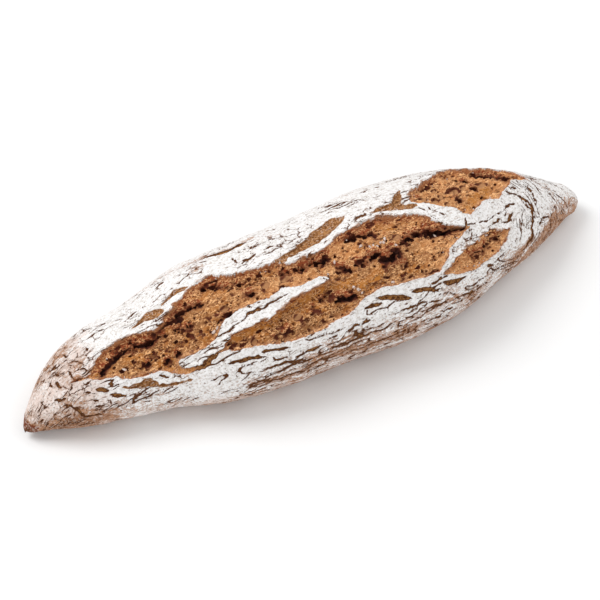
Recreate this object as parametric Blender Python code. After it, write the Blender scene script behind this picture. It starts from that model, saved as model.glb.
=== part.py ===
"""Mini baguette: one solid loaf with tapered ends, a flat sole and torn gashes in its top.

The loaf lies along X with its sole on Z = 0.  A point of the skin is addressed by two
lengths: x along the loaf, and g round its girth, counted from the crest line and positive
towards +Y.  Every gash is an outline in those two lengths, sunk along the skin's normal.
All tables are in millimetres; the mesh is in metres.
"""
import math

import bmesh
import bpy
from mathutils import Vector

MM = 0.001

# Body: (x, half width, sideways shift of the centreline) from tip to tip.
HALF_LENGTH = 120.0
PROFILE = (
    (-120.0, 2.0, 8.2),
    (-113.0, 7.5, 9.6),
    (-104.0, 13.0, 10.0),
    (-90.0, 18.0, 9.8),
    (-70.0, 22.0, 8.3),
    (-50.0, 28.0, 4.6),
    (-25.0, 30.8, 1.6),
    (0.0, 30.8, 0.8),
    (25.0, 32.0, -0.9),
    (50.0, 29.5, -0.4),
    (70.0, 24.8, 2.0),
    (88.0, 19.0, 2.1),
    (100.0, 13.6, 2.2),
    (110.0, 8.5, 2.4),
    (120.0, 4.5, 1.2),
)
HEIGHT_TO_WIDTH = 0.74      # at the middle of the loaf
HEIGHT_TO_WIDTH_GAIN = 0.12  # added at the tips, where the loaf is rounder
WIDEST_LEVEL = 0.42         # share of the height at which the loaf is widest
SIDE_SQUARENESS = 0.95
SOLE_FLATNESS = 1.22        # above 1 the underside is cut off flat
TIP_RADII = (3.0, 6.0)      # rounding of the -X and the +X tip
TIP_LIFT = 3.0              # how far the tips curl up off the table
LIFT_START = 0.6            # share of the half length at which the curl starts

# Mesh resolution.
RINGS = 84
END_CROWDING = 0.5          # 0 spaces the rings evenly, 1 crowds them at the tips
CROWN_POINTS = 48           # round the girth, from a little below the widest level
FLANK_POINTS = 3            # on each side, from there down to the sole
SOLE_POINTS = 3
CROWN_END = math.radians(-12.0)
SOLE_END = math.radians(-55.0)
GIRTH_STEPS = 72            # samples over the crown when lengths are turned into angles

# Gashes: outline as (x, g) pairs, depth at the middle, slope of the walls.
OPENING = (
    (-101.0, -5.8),
    (-93.0, -7.5),
    (-87.5, -3.5),
    (-79.0, -1.5),
    (-68.0, -4.0),
    (-62.0, -2.5),
    (-56.0, 1.0),
    (-45.0, 5.0),
    (-30.0, 1.0),
    (-15.0, 0.5),
    (0.0, -2.0),
    (8.0, 0.8),
    (20.0, 1.0),
    (30.0, -1.0),
    (40.0, -5.5),
    (48.0, -13.0),
    (57.0, -15.5),
    (48.0, -19.5),
    (42.0, -24.5),
    (37.0, -28.0),
    (26.0, -27.5),
    (7.0, -26.0),
    (-5.0, -29.5),
    (-15.0, -31.0),
    (-25.0, -31.0),
    (-35.0, -29.0),
    (-45.0, -26.0),
    (-56.0, -26.0),
    (-66.0, -23.5),
    (-76.0, -17.5),
    (-87.0, -13.0),
    (-95.0, -9.0),
)
FAR_OPENING = (
    (41.0, 1.5),
    (44.0, 6.5),
    (52.0, 11.0),
    (61.0, 14.0),
    (70.0, 14.5),
    (83.0, 11.5),
    (95.0, 3.0),
    (87.0, 0.0),
    (78.0, -7.0),
    (68.0, -8.0),
    (59.0, -11.5),
    (54.0, -6.0),
    (48.0, -1.5),
)
SIDE_OPENING = (
    (40.0, -29.0),
    (48.0, -25.5),
    (55.0, -22.5),
    (65.0, -19.5),
    (74.0, -20.5),
    (70.0, -25.5),
    (61.0, -29.0),
    (52.0, -32.0),
)
GASHES = (
    (OPENING, 4.5, 2.4),
    (FAR_OPENING, 3.2, 2.0),
    (SIDE_OPENING, 2.4, 2.0),
)
# The strip of skin that still bridges the opening.
BRIDGE = (
    (-66.0, -20.5),
    (-55.0, -20.0),
    (-46.0, -15.5),
    (-38.0, -13.0),
    (-20.0, -11.5),
    (-3.5, -13.5),
    (-12.0, -16.0),
    (-25.0, -18.0),
    (-38.0, -20.5),
    (-46.0, -21.5),
    (-55.0, -24.0),
    (-63.0, -23.5),
)
BRIDGE_FALL = 1.6           # over this width the strip's edge falls away


def remove_everything() -> None:
    """Clear the scene's objects."""
    for item in list(bpy.data.objects):
        bpy.data.objects.remove(item, do_unlink=True)


def profile_at(x: float) -> tuple[float, float]:
    """Return half width and centreline shift at x, by cubic interpolation."""
    last = len(PROFILE) - 2
    row = max(0, min(last, sum(1 for entry in PROFILE[1:] if entry[0] <= x)))
    x0 = PROFILE[row][0]
    x1 = PROFILE[row + 1][0]
    t = (x - x0) / (x1 - x0)
    values = []
    for column in (1, 2):
        start, end = PROFILE[row][column], PROFILE[row + 1][column]
        out_slope = slope(row, column) * (x1 - x0)
        in_slope = slope(row + 1, column) * (x1 - x0)
        curve = (2 * t**3 - 3 * t**2 + 1) * start + (t**3 - 2 * t**2 + t) * out_slope
        curve += (3 * t**2 - 2 * t**3) * end + (t**3 - t**2) * in_slope
        values.append(curve)
    return values[0], values[1]


def slope(row: int, column: int) -> float:
    """Return the profile's slope at one of its rows, from both neighbours."""
    low = max(row - 1, 0)
    high = min(row + 1, len(PROFILE) - 1)
    if low == row or high == row:
        rise = PROFILE[high][column] - PROFILE[low][column]
        return rise / (PROFILE[high][0] - PROFILE[low][0])
    left_run = PROFILE[row][0] - PROFILE[low][0]
    right_run = PROFILE[high][0] - PROFILE[row][0]
    left = (PROFILE[row][column] - PROFILE[low][column]) / left_run
    right = (PROFILE[high][column] - PROFILE[row][column]) / right_run
    return (left * right_run + right * left_run) / (left_run + right_run)


def skin_point(x: float, angle: float) -> Vector:
    """Return a point of the ungashed skin, in mm.

    Args:
        x: place along the loaf.
        angle: 0 at +Y, a quarter turn at the crest, half a turn at -Y.
    """
    half_width, shift = profile_at(x)
    share = abs(x) / HALF_LENGTH
    height = 2.0 * half_width * (HEIGHT_TO_WIDTH + HEIGHT_TO_WIDTH_GAIN * share**2)
    radius = TIP_RADII[0] if x < 0.0 else TIP_RADII[1]
    inset = 1.0 - min((HALF_LENGTH - abs(x)) / radius, 1.0)
    rounding = math.sqrt(max(0.0, 1.0 - inset**2))
    lift = TIP_LIFT * max(0.0, (share - LIFT_START) / (1.0 - LIFT_START))
    middle = WIDEST_LEVEL * height
    across = math.cos(angle)
    up = math.sin(angle)
    y = shift + half_width * rounding * math.copysign(abs(across) ** SIDE_SQUARENESS, across)
    if up > 0.0:
        z = middle + (height - middle) * rounding * up
    else:
        z = middle - middle * rounding * min(SOLE_FLATNESS * -up, 1.0)
    return Vector((x, y, z + lift))


def edge_places(x: float) -> list[float]:
    """Return the g of every gash edge that a cut across the loaf at x meets."""
    places = []
    for outline in [gash[0] for gash in GASHES] + [BRIDGE]:
        for (x0, g0), (x1, g1) in zip(outline, outline[1:] + outline[:1]):
            if (x0 > x) != (x1 > x):
                places.append(g0 + (g1 - g0) * (x - x0) / (x1 - x0))
    return sorted(places)


def crown_points(x: float) -> list[tuple[float, float]]:
    """Return (angle, g) of the crown's points at x, the nearest ones moved onto gash edges."""
    step = (math.pi - 2.0 * CROWN_END) / GIRTH_STEPS
    angles = [CROWN_END + step * number for number in range(GIRTH_STEPS + 1)]
    skin = [skin_point(x, angle) for angle in angles]
    lengths = [0.0]
    for before, here in zip(skin, skin[1:]):
        lengths.append(lengths[-1] + (here - before).length)
    crest = lengths[GIRTH_STEPS // 2]
    spacing = lengths[-1] / CROWN_POINTS
    places = [crest - spacing * number for number in range(CROWN_POINTS)]
    taken = set()
    for edge in edge_places(x):
        free = [number for number in range(1, CROWN_POINTS) if number not in taken]
        nearest = min(free, key=lambda number: abs(places[number] - edge))
        if abs(places[nearest] - edge) < spacing:
            places[nearest] = edge
            taken.add(nearest)
    places.sort(reverse=True)
    points = []
    segment = 0
    for place in places:
        length = crest - place
        while segment < GIRTH_STEPS - 1 and lengths[segment + 1] < length:
            segment += 1
        run = max(lengths[segment + 1] - lengths[segment], 1e-9)
        points.append((angles[segment] + step * (length - lengths[segment]) / run, place))
    return points


def inside_depth(x: float, g: float, outline: tuple) -> float:
    """Return how far (x, g) lies inside an outline, negative when outside."""
    nearest = math.inf
    inside = False
    for (x0, g0), (x1, g1) in zip(outline, outline[1:] + outline[:1]):
        run = Vector((x1 - x0, g1 - g0))
        here = Vector((x - x0, g - g0))
        along = max(0.0, min(1.0, here.dot(run) / run.length_squared))
        nearest = min(nearest, (here - run * along).length)
        if (g0 > g) != (g1 > g) and x < x0 + (g - g0) / (g1 - g0) * (x1 - x0):
            inside = not inside
    return nearest if inside else -nearest


def gash_depth(x: float, g: float) -> float:
    """Return how deep the skin is sunk at (x, g), in mm."""
    deepest = 0.0
    for outline, depth, wall in GASHES:
        reach = inside_depth(x, g, outline)
        if reach > 0.0:
            deepest = max(deepest, depth * (1.0 - math.exp(-wall * reach / depth)))
    covered = inside_depth(x, g, BRIDGE) / BRIDGE_FALL
    return deepest * max(0.0, min(1.0, -covered))


def skin_normal(x: float, angle: float) -> Vector:
    """Return the outward normal of the ungashed skin."""
    nudge = 0.01
    along = skin_point(x + nudge, angle) - skin_point(x - nudge, angle)
    around = skin_point(x, angle + nudge) - skin_point(x, angle - nudge)
    return around.cross(along).normalized()


def ring(x: float) -> list[Vector]:
    """Return the points of one ring of the finished loaf, from +Y over the crest."""
    points = []
    for angle, place in crown_points(x):
        depth = gash_depth(x, place)
        point = skin_point(x, angle)
        if depth > 0.0:
            point -= skin_normal(x, angle) * depth
        points.append(point)
    flank = (CROWN_END - SOLE_END) / FLANK_POINTS
    sole = (math.pi + 2.0 * SOLE_END) / SOLE_POINTS
    below = [math.pi - CROWN_END + flank * number for number in range(FLANK_POINTS)]
    below += [math.pi - SOLE_END + sole * number for number in range(SOLE_POINTS)]
    below += [math.tau + SOLE_END + flank * number for number in range(FLANK_POINTS)]
    return points + [skin_point(x, angle) for angle in below]


def ring_place(share: float) -> float:
    """Return the x of the ring at a share of the way from the -X to the +X tip."""
    even = 2.0 * share - 1.0
    crowded = -math.cos(math.pi * share)
    return HALF_LENGTH * (even + END_CROWDING * (crowded - even))


def build_loaf(collection: bpy.types.Collection) -> bpy.types.Object:
    """Roll a sphere out into the loaf and return it."""
    around = CROWN_POINTS + 2 * FLANK_POINTS + SOLE_POINTS
    rings = [ring(ring_place(number / RINGS)) for number in range(RINGS + 1)]
    shell = bmesh.new()
    bmesh.ops.create_uvsphere(shell, u_segments=around, v_segments=RINGS, radius=1.0)
    for vertex in shell.verts:
        height = max(-1.0, min(1.0, vertex.co.z))
        number = round(math.acos(-height) / math.pi * RINGS)
        turn = math.atan2(vertex.co.y, vertex.co.x) % math.tau
        place = round(turn / math.tau * around) % around
        vertex.co = rings[number][place] * MM
    for face in shell.faces:
        face.smooth = True
    mesh = bpy.data.meshes.new("loaf")
    shell.to_mesh(mesh)
    shell.free()
    loaf = bpy.data.objects.new("loaf", mesh)
    collection.objects.link(loaf)
    return loaf


def crust_material() -> bpy.types.Material:
    """Return the floured crust."""
    material = bpy.data.materials.new("crust")
    material.use_nodes = True
    surface = material.node_tree.nodes["Principled BSDF"]
    surface.inputs["Base Color"].default_value = (0.66, 0.56, 0.48, 1.0)
    surface.inputs["Roughness"].default_value = 0.9
    return material


def main() -> None:
    """Build the loaf in its own collection."""
    remove_everything()
    collection = bpy.data.collections.new("mini_baguette")
    bpy.context.scene.collection.children.link(collection)
    loaf = build_loaf(collection)
    loaf.data.materials.append(crust_material())


main()
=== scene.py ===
"""Mini baguette: a floured, hand-shaped loaf with torn openings along its top.

The loaf lies along X with its sole on Z = 0.  A place on its skin is given by two lengths in
millimetres: x along the loaf, and g round its girth, counted from the crest line and positive
towards +Y.  Heights above the skin are called n.  Shapes are worked out in millimetres and
become metres when a mesh is made.
"""
import logging
import math
from dataclasses import dataclass, field
from enum import Enum

import bpy
import numpy as np
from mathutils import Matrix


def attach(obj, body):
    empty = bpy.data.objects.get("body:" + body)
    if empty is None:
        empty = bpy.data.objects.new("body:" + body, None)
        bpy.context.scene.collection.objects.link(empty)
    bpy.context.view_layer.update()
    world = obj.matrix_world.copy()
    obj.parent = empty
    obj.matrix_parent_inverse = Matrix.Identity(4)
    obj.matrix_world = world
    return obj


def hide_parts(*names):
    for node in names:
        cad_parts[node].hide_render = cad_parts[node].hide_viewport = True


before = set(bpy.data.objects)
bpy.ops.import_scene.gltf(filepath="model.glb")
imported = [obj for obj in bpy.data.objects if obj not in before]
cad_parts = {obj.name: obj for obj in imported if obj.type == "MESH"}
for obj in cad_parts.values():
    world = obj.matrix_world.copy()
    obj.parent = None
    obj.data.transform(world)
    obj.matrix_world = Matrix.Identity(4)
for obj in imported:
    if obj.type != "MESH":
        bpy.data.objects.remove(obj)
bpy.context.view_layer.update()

import openvdb
from mathutils import Matrix, Quaternion, Vector

MM = 0.001
LOG = logging.getLogger("mini_baguette")
# An outline or a path is a row of corners in x and g.
Outline = tuple[tuple[float, float], ...]
# A place, a size along each axis or a colour.
Triple = tuple[float, float, float]


# --------------------------------------------------------------------------------------
# Noise
# --------------------------------------------------------------------------------------


AXIS_PRIMES = np.array([374761393, 668265263, 2246822519], dtype=np.uint32)
SEED_PRIME = 974634777
MIXING_PRIME = np.uint32(2654435761)
WORD = 0xFFFFFFFF
LEVELS = 0xFFFFFF
LAYER_SCALE = 2.03
LAYER_SHIFT = 7.7
LAYER_FADE = 0.5


def lattice(cells: np.ndarray, seed: int) -> np.ndarray:
    """Return one repeatable number from 0 to 1 for each whole-number cell.

    Args:
        cells: whole numbers, with the axes last.
        seed: picks another set of numbers.

    Returns:
        An array without the last axis.
    """
    total = np.full(cells.shape[:-1], (seed * SEED_PRIME + 31) & WORD, dtype=np.uint32)
    for axis in range(cells.shape[-1]):
        total = total ^ (cells[..., axis].astype(np.int64).astype(np.uint32) * AXIS_PRIMES[axis])
        total = (total ^ (total >> np.uint32(15))) * MIXING_PRIME
    total = total ^ (total >> np.uint32(13))
    return (total & np.uint32(LEVELS)).astype(np.float32) / float(LEVELS)


def value_noise(points: np.ndarray, size: Triple | float, seed: int) -> np.ndarray:
    """Return smooth noise from -1 to 1 with features of one size.

    Args:
        points: places, with three axes last.
        size: how far the features reach, one length or one for each axis.
        seed: picks another pattern.

    Returns:
        An array without the last axis.
    """
    points = points / np.array(size)
    base = np.floor(points)
    part = (points - base).astype(np.float32)
    part = part * part * (3.0 - 2.0 * part)
    total = np.zeros(points.shape[:-1], dtype=np.float32)
    for corner in range(8):
        offset = np.array([corner & 1, corner >> 1 & 1, corner >> 2 & 1])
        weight = np.prod(np.where(offset > 0, part, 1.0 - part), axis=-1)
        total += weight * lattice(base + offset, seed)
    return 2.0 * total - 1.0


def layered_noise(points: np.ndarray, size: Triple | float, seed: int,
                  layers: int = 3) -> np.ndarray:
    """Return noise from about -1 to 1 that adds finer layers of half the strength.

    Args:
        points: places, with three axes last.
        size: how far the coarsest features reach.
        seed: picks another pattern.
        layers: how many layers are added up.

    Returns:
        An array without the last axis.
    """
    points = points / np.array(size)
    total = np.zeros(points.shape[:-1], dtype=np.float32)
    strength = 1.0
    for layer in range(layers):
        finer = points * LAYER_SCALE**layer + LAYER_SHIFT * layer
        total += strength * value_noise(finer, 1.0, seed + layer)
        strength *= LAYER_FADE
    return total / (2.0 - 2.0 * strength)


def plate_edges(places: np.ndarray, seed: int) -> np.ndarray:
    """Divide a plane into irregular plates, each one unit across.

    Args:
        places: positions, with two axes last.
        seed: picks another division.

    Returns:
        The distance from each place to the nearest edge between two plates.
    """
    base = np.floor(places)
    first = np.full(places.shape[:-1], 9.0, dtype=np.float32)
    second = first.copy()
    for step_x in (-1, 0, 1):
        for step_y in (-1, 0, 1):
            cell = base + np.array([step_x, step_y])
            jitter = np.stack([lattice(cell, seed), lattice(cell, seed + 1)], axis=-1)
            gap = np.linalg.norm(cell + 0.1 + 0.8 * jitter - places, axis=-1)
            second = np.where(gap < first, first, np.minimum(second, gap))
            first = np.minimum(first, gap)
    return (second - first) / 2.0


def ramp(values: np.ndarray, low: float, high: float) -> np.ndarray:
    """Return a smooth rise from 0 to 1, which turns into a fall where low exceeds high.

    Args:
        values: the numbers to look up.
        low: where the rise starts.
        high: where it ends.

    Returns:
        A share from 0 to 1 for each number.
    """
    share = np.clip((values - low) / (high - low), 0.0, 1.0)
    return share * share * (3.0 - 2.0 * share)


# --------------------------------------------------------------------------------------
# The loaf's form
# --------------------------------------------------------------------------------------


@dataclass(frozen=True)
class LoafForm:
    """The skin of the loaf before it tears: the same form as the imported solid's."""

    half_length: float = 120.0
    profile: tuple[tuple[float, float, float], ...] = (
        (-120.0, 2.0, 8.2),
        (-113.0, 7.5, 9.6),
        (-104.0, 13.0, 10.0),
        (-90.0, 18.0, 9.8),
        (-70.0, 22.0, 8.3),
        (-50.0, 28.0, 4.6),
        (-25.0, 30.8, 1.6),
        (0.0, 30.8, 0.8),
        (25.0, 32.0, -0.9),
        (50.0, 29.5, -0.4),
        (70.0, 24.8, 2.0),
        (88.0, 19.0, 2.1),
        (100.0, 13.6, 2.2),
        (110.0, 8.5, 2.4),
        (120.0, 4.5, 1.2),
    )
    height_to_width: float = 0.74
    height_to_width_gain: float = 0.12
    widest_level: float = 0.42
    side_squareness: float = 0.95
    sole_flatness: float = 1.22
    tip_radii: tuple[float, float] = (3.0, 6.0)
    tip_lift: float = 3.0
    lift_start: float = 0.6
    girth_steps: int = 720
    nudge: float = 0.004
    tip_margin: float = 0.3

    def along(self, x: np.ndarray, column: int) -> np.ndarray:
        """Read the profile between its rows, by cubic interpolation.

        Args:
            x: places along the loaf.
            column: 1 for half the width, 2 for the middle line's y.

        Returns:
            Lengths in mm.
        """
        rows = np.array(self.profile)
        places, values = rows[:, 0], rows[:, column]
        slopes = np.gradient(values, places)
        row = np.clip(np.searchsorted(places, x) - 1, 0, len(places) - 2)
        run = places[row + 1] - places[row]
        t = (x - places[row]) / run
        curve = (2 * t**3 - 3 * t**2 + 1) * values[row] + (3 * t**2 - 2 * t**3) * values[row + 1]
        curve += (t**3 - 2 * t**2 + t) * slopes[row] * run
        return curve + (t**3 - t**2) * slopes[row + 1] * run

    def height(self, x: np.ndarray) -> np.ndarray:
        """Work out the loaf's height, without the lift of its tips.

        Args:
            x: places along the loaf.

        Returns:
            Heights in mm.
        """
        share = np.abs(x) / self.half_length
        gain = self.height_to_width + self.height_to_width_gain * share**2
        return 2.0 * self.along(x, 1) * gain

    def skin(self, x: np.ndarray, angle: np.ndarray) -> np.ndarray:
        """Return places on the skin.

        Args:
            x: places along the loaf.
            angle: 0 at +Y, a quarter turn at the crest, half a turn at -Y.

        Returns:
            Points in mm, with the three axes last.
        """
        x, angle = np.broadcast_arrays(x, angle)
        share = np.abs(x) / self.half_length
        height = self.height(x)
        radius = np.where(x < 0.0, *self.tip_radii)
        inset = 1.0 - np.minimum((self.half_length - np.abs(x)) / radius, 1.0)
        rounding = np.sqrt(np.maximum(0.0, 1.0 - inset**2))
        lift = self.tip_lift * np.maximum(0.0, (share - self.lift_start) / (1 - self.lift_start))
        middle = self.widest_level * height
        across, up = np.cos(angle), np.sin(angle)
        reach = self.along(x, 1) * rounding * np.abs(across) ** self.side_squareness
        y = self.along(x, 2) + reach * np.sign(across)
        above = middle + (height - middle) * rounding * up
        below = middle - middle * rounding * np.minimum(self.sole_flatness * -up, 1.0)
        return np.stack([x, y, np.where(up > 0.0, above, below) + lift], axis=-1)

    def girth(self, x: np.ndarray) -> tuple[np.ndarray, np.ndarray]:
        """Measure the girth from the middle of the sole up the +Y side and back.

        Args:
            x: places along the loaf.

        Returns:
            Angles round the loaf, and for each x the g at every one of them.
        """
        angles = np.linspace(-0.5 * math.pi, 1.5 * math.pi, self.girth_steps + 1)
        crest = self.girth_steps // 2
        rings = self.skin(x[:, None], angles[None, :])
        steps = np.linalg.norm(np.diff(rings, axis=1), axis=-1)
        lengths = np.concatenate([np.zeros((len(x), 1)), np.cumsum(steps, axis=1)], axis=1)
        return angles, lengths[:, crest:crest + 1] - lengths

    def unroll(self, x: np.ndarray, g: np.ndarray) -> tuple[np.ndarray, np.ndarray]:
        """Find the skin at places given by x and g.

        Args:
            x: one place along the loaf for each row.
            g: lengths round the girth, row by row.

        Returns:
            Points on the skin and the outward normals there.
        """
        angles, table = self.girth(x)
        rows = zip(g, table)
        angle = np.stack([np.interp(-wanted, -known, angles) for wanted, known in rows])
        x = np.broadcast_to(x[:, None], angle.shape)
        inner = np.clip(x, self.tip_margin - self.half_length, self.half_length - self.tip_margin)
        along = self.skin(inner + self.nudge, angle) - self.skin(inner - self.nudge, angle)
        around = self.skin(inner, angle + self.nudge) - self.skin(inner, angle - self.nudge)
        return self.skin(x, angle), unit(np.cross(around, along))


def unit(vectors: np.ndarray) -> np.ndarray:
    """Return vectors of length one."""
    return vectors / np.maximum(np.linalg.norm(vectors, axis=-1, keepdims=True), 1e-9)


# --------------------------------------------------------------------------------------
# Openings, slits and caves
# --------------------------------------------------------------------------------------


class Depth(Enum):
    """How far an opening goes down."""

    CRUMB = "down to the torn crumb"
    SKIN = "through the floured skin only"


@dataclass(frozen=True)
class Opening:
    """A tear in the crust, as its outline in x and g."""

    depth: Depth
    outline: Outline

    def distance(self, x: np.ndarray, g: np.ndarray) -> np.ndarray:
        """Measure how far places lie from the outline.

        Args:
            x: places along the loaf.
            g: places round the girth.

        Returns:
            Distances, negative inside the outline.
        """
        nearest = np.full(x.shape, 1e9)
        inside = np.zeros(x.shape, dtype=bool)
        for (x0, g0), (x1, g1) in zip(self.outline, self.outline[1:] + self.outline[:1]):
            run_x, run_g = x1 - x0, g1 - g0
            share = ((x - x0) * run_x + (g - g0) * run_g) / (run_x**2 + run_g**2)
            share = np.clip(share, 0.0, 1.0)
            gap = np.hypot(x - x0 - share * run_x, g - g0 - share * run_g)
            nearest = np.minimum(nearest, gap)
            if g0 != g1:
                crosses = (g0 > g) != (g1 > g)
                inside ^= crosses & (x < x0 + (g - g0) / run_g * run_x)
        return np.where(inside, -nearest, nearest)


@dataclass(frozen=True)
class Slit:
    """A narrow crack in the floured skin, widest halfway along its path."""

    path: Outline
    half_width: float

    def inset(self, x: np.ndarray, g: np.ndarray) -> np.ndarray:
        """Measure how far places lie inside the crack.

        Args:
            x: places along the loaf.
            g: places round the girth.

        Returns:
            Distances to the crack's side, negative outside it.
        """
        lengths = [math.dist(start, end) for start, end in zip(self.path, self.path[1:])]
        total = sum(lengths)
        best = np.full(x.shape, -1e9)
        before = 0.0
        for (x0, g0), (x1, g1), length in zip(self.path, self.path[1:], lengths):
            run_x, run_g = x1 - x0, g1 - g0
            share = np.clip(((x - x0) * run_x + (g - g0) * run_g) / length**2, 0.0, 1.0)
            gap = np.hypot(x - x0 - share * run_x, g - g0 - share * run_g)
            place = 2.0 * (before + share * length) / total - 1.0
            width = self.half_width * np.sqrt(np.maximum(0.0, 1.02 - place**2))
            best = np.maximum(best, width - gap)
            before += length
        return best


@dataclass(frozen=True)
class Cave:
    """A hollow in the torn crumb that runs along a path and down under its far side."""

    path: Outline
    radius: float
    ragged: float = 1.0


OPENINGS = {
    "main": Opening(Depth.CRUMB, (
        (-101, -6), (-96, -7.5), (-93, -7.5), (-91, -6), (-87.5, -3.5), (-83.5, -3), (-79, -2),
        (-73.5, -2.5), (-68, -4), (-65.5, -5), (-63.5, -4.5), (-61.5, -2), (-58.5, -1), (-56, 1),
        (-50, 3), (-45.5, 5), (-40.5, 5.5), (-37.5, 3.5), (-32.5, 2), (-27.5, 0), (-21.5, 0.5),
        (-17, 0), (-15.5, -2.8), (-13, -4), (-9, -3), (-4.5, -2.5), (2, -2), (5.5, -0.5),
        (11, 0.5), (17, 1), (23, 1), (26, 0.5), (29.5, -1), (33, -2.5), (37, -3.5), (40, -5.5),
        (43, -8), (45, -10), (48, -13), (51, -14), (58, -15.8), (53.5, -17), (51, -18.5),
        (48, -19.5), (44.5, -21.5), (42, -24), (39, -26.5), (37, -28), (30.5, -28), (26, -27.5),
        (18, -26.5), (14.5, -25), (9.5, -25.5), (7, -26), (3, -21.5), (1, -19.5), (-3, -15.5),
        (-3.5, -13.8), (-6, -12.5), (-12, -13), (-18, -12.3), (-21, -11.5), (-27, -13),
        (-35.5, -12.5), (-40.5, -13), (-44.5, -14.5), (-48, -16.5), (-49.5, -18), (-53, -20),
        (-58.5, -19.8), (-61.5, -19.2), (-63.6, -18.7), (-64.8, -19.6), (-64.3, -21.8),
        (-63.2, -23.2), (-60.5, -24.4), (-59.5, -25.8), (-62.5, -25.6), (-65.5, -23.9),
        (-68.5, -21.2), (-71.5, -19.4), (-74, -18.2), (-79, -17.6), (-82, -17.1), (-84.5, -16),
        (-86, -13.4), (-87.5, -13.4), (-90, -12.2), (-94, -10), (-96.5, -8.5),
    )),
    "lower": Opening(Depth.CRUMB, (
        (-54, -24), (-50.5, -23.1), (-48, -22.6), (-46, -21.5), (-45, -20.6), (-40.5, -20.3),
        (-36, -20.1), (-30, -20), (-27.5, -19.5), (-26.5, -18.5), (-20, -17.1), (-13, -16.1),
        (-8, -15.6), (-4.5, -15.3), (-3, -14.5), (2, -18.5), (4.5, -21), (8, -25.5), (5, -27),
        (2, -28), (-1, -29), (-4, -29.5), (-7.5, -29.8), (-11.5, -31), (-20.5, -31.5),
        (-24.5, -31), (-28, -30), (-35.5, -28.6), (-39, -27.5), (-45.5, -26), (-48, -24.7),
    )),
    "far": Opening(Depth.CRUMB, (
        (41, 1.5), (41.5, 3.5), (44, 7), (47.5, 9), (52, 11), (56, 11.5), (61, 14), (66, 15),
        (71.5, 13.8), (76.5, 13), (83, 11.5), (88, 9), (91.5, 7), (94.5, 3.5), (96.5, 1.5),
        (92, 0), (87, 0), (83.5, -2.5), (80.5, -5), (77.5, -7), (76, -8), (72.5, -7.5),
        (68, -8), (65.5, -9), (62.5, -10.5), (60, -11.5), (57.5, -10.5), (56, -8), (54, -6),
        (50, -4), (47, -1.5), (43.5, 0),
    )),
    "side": Opening(Depth.CRUMB, (
        (37.5, -29.6), (41, -28.2), (44.5, -26.6), (47, -25), (49.5, -23), (53, -22.1),
        (56, -22), (59.5, -21.2), (62.5, -20), (65.5, -19.6), (70.5, -20.2), (75, -20.5),
        (73, -23), (70, -26), (66, -28.6), (61.5, -29.8), (58, -31), (53, -32.3),
        (48, -31.9), (43, -31.2),
    )),
    "upper_strip": Opening(Depth.SKIN, (
        (-18, 0.5), (-13, 1.5), (-10.5, 2), (-6.5, 3.5), (-3, 4.5), (0.5, 6.5), (4.5, 7.5),
        (8, 9), (11.5, 10), (13, 9.5), (16.5, 8.5), (14.5, 6.5), (13, 6), (9.5, 4.5), (7, 3),
        (4.5, 2), (1, 1), (-2.5, 0.8), (-6, 0.6), (-9, 0), (-12, -1), (-15.5, -2.5),
    )),
    "horn": Opening(Depth.SKIN, (
        (24.5, 4), (28.5, 5.5), (31.5, 5), (34, 5), (36.5, 7.5), (39.5, 10.5), (41.7, 11.5),
        (41.7, 10.5), (38.5, 6), (36.5, 3), (38, 1.5), (41, 0.9), (42.5, -0.9), (40, -1.6),
        (37.3, -0.8), (34, 0.8), (29, 2), (27, 3),
    )),
    "far_lens": Opening(Depth.SKIN, (
        (-61.5, 3.5), (-59, 5), (-56.5, 5.8), (-54, 7), (-52, 6.3), (-49.5, 5), (-51.5, 4.5),
        (-54, 4.5), (-57, 3.7), (-59, 3), (-61, 2.6),
    )),
    "ear": Opening(Depth.SKIN, (
        (-74.5, 0), (-71, 1.2), (-68.5, 2.7), (-66.5, 3.2), (-64.5, 3.2), (-62, 3), (-61, 1),
        (-61.5, -0.5), (-63, -1), (-65.5, -0.6), (-68, 0.4), (-71, 0.4),
    )),
    "triangle": Opening(Depth.SKIN, (
        (-85.5, -18.5), (-83, -19.4), (-81, -19.5), (-79, -19.7), (-77, -19.3), (-75.5, -20.3),
        (-74, -22), (-73, -24), (-68.5, -25.5), (-64, -27.5), (-62, -28.5), (-64.5, -28.2),
        (-69, -27), (-73, -25.3), (-76, -23.3), (-79.5, -22.5), (-81.5, -21), (-84, -20),
    )),
}

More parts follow.
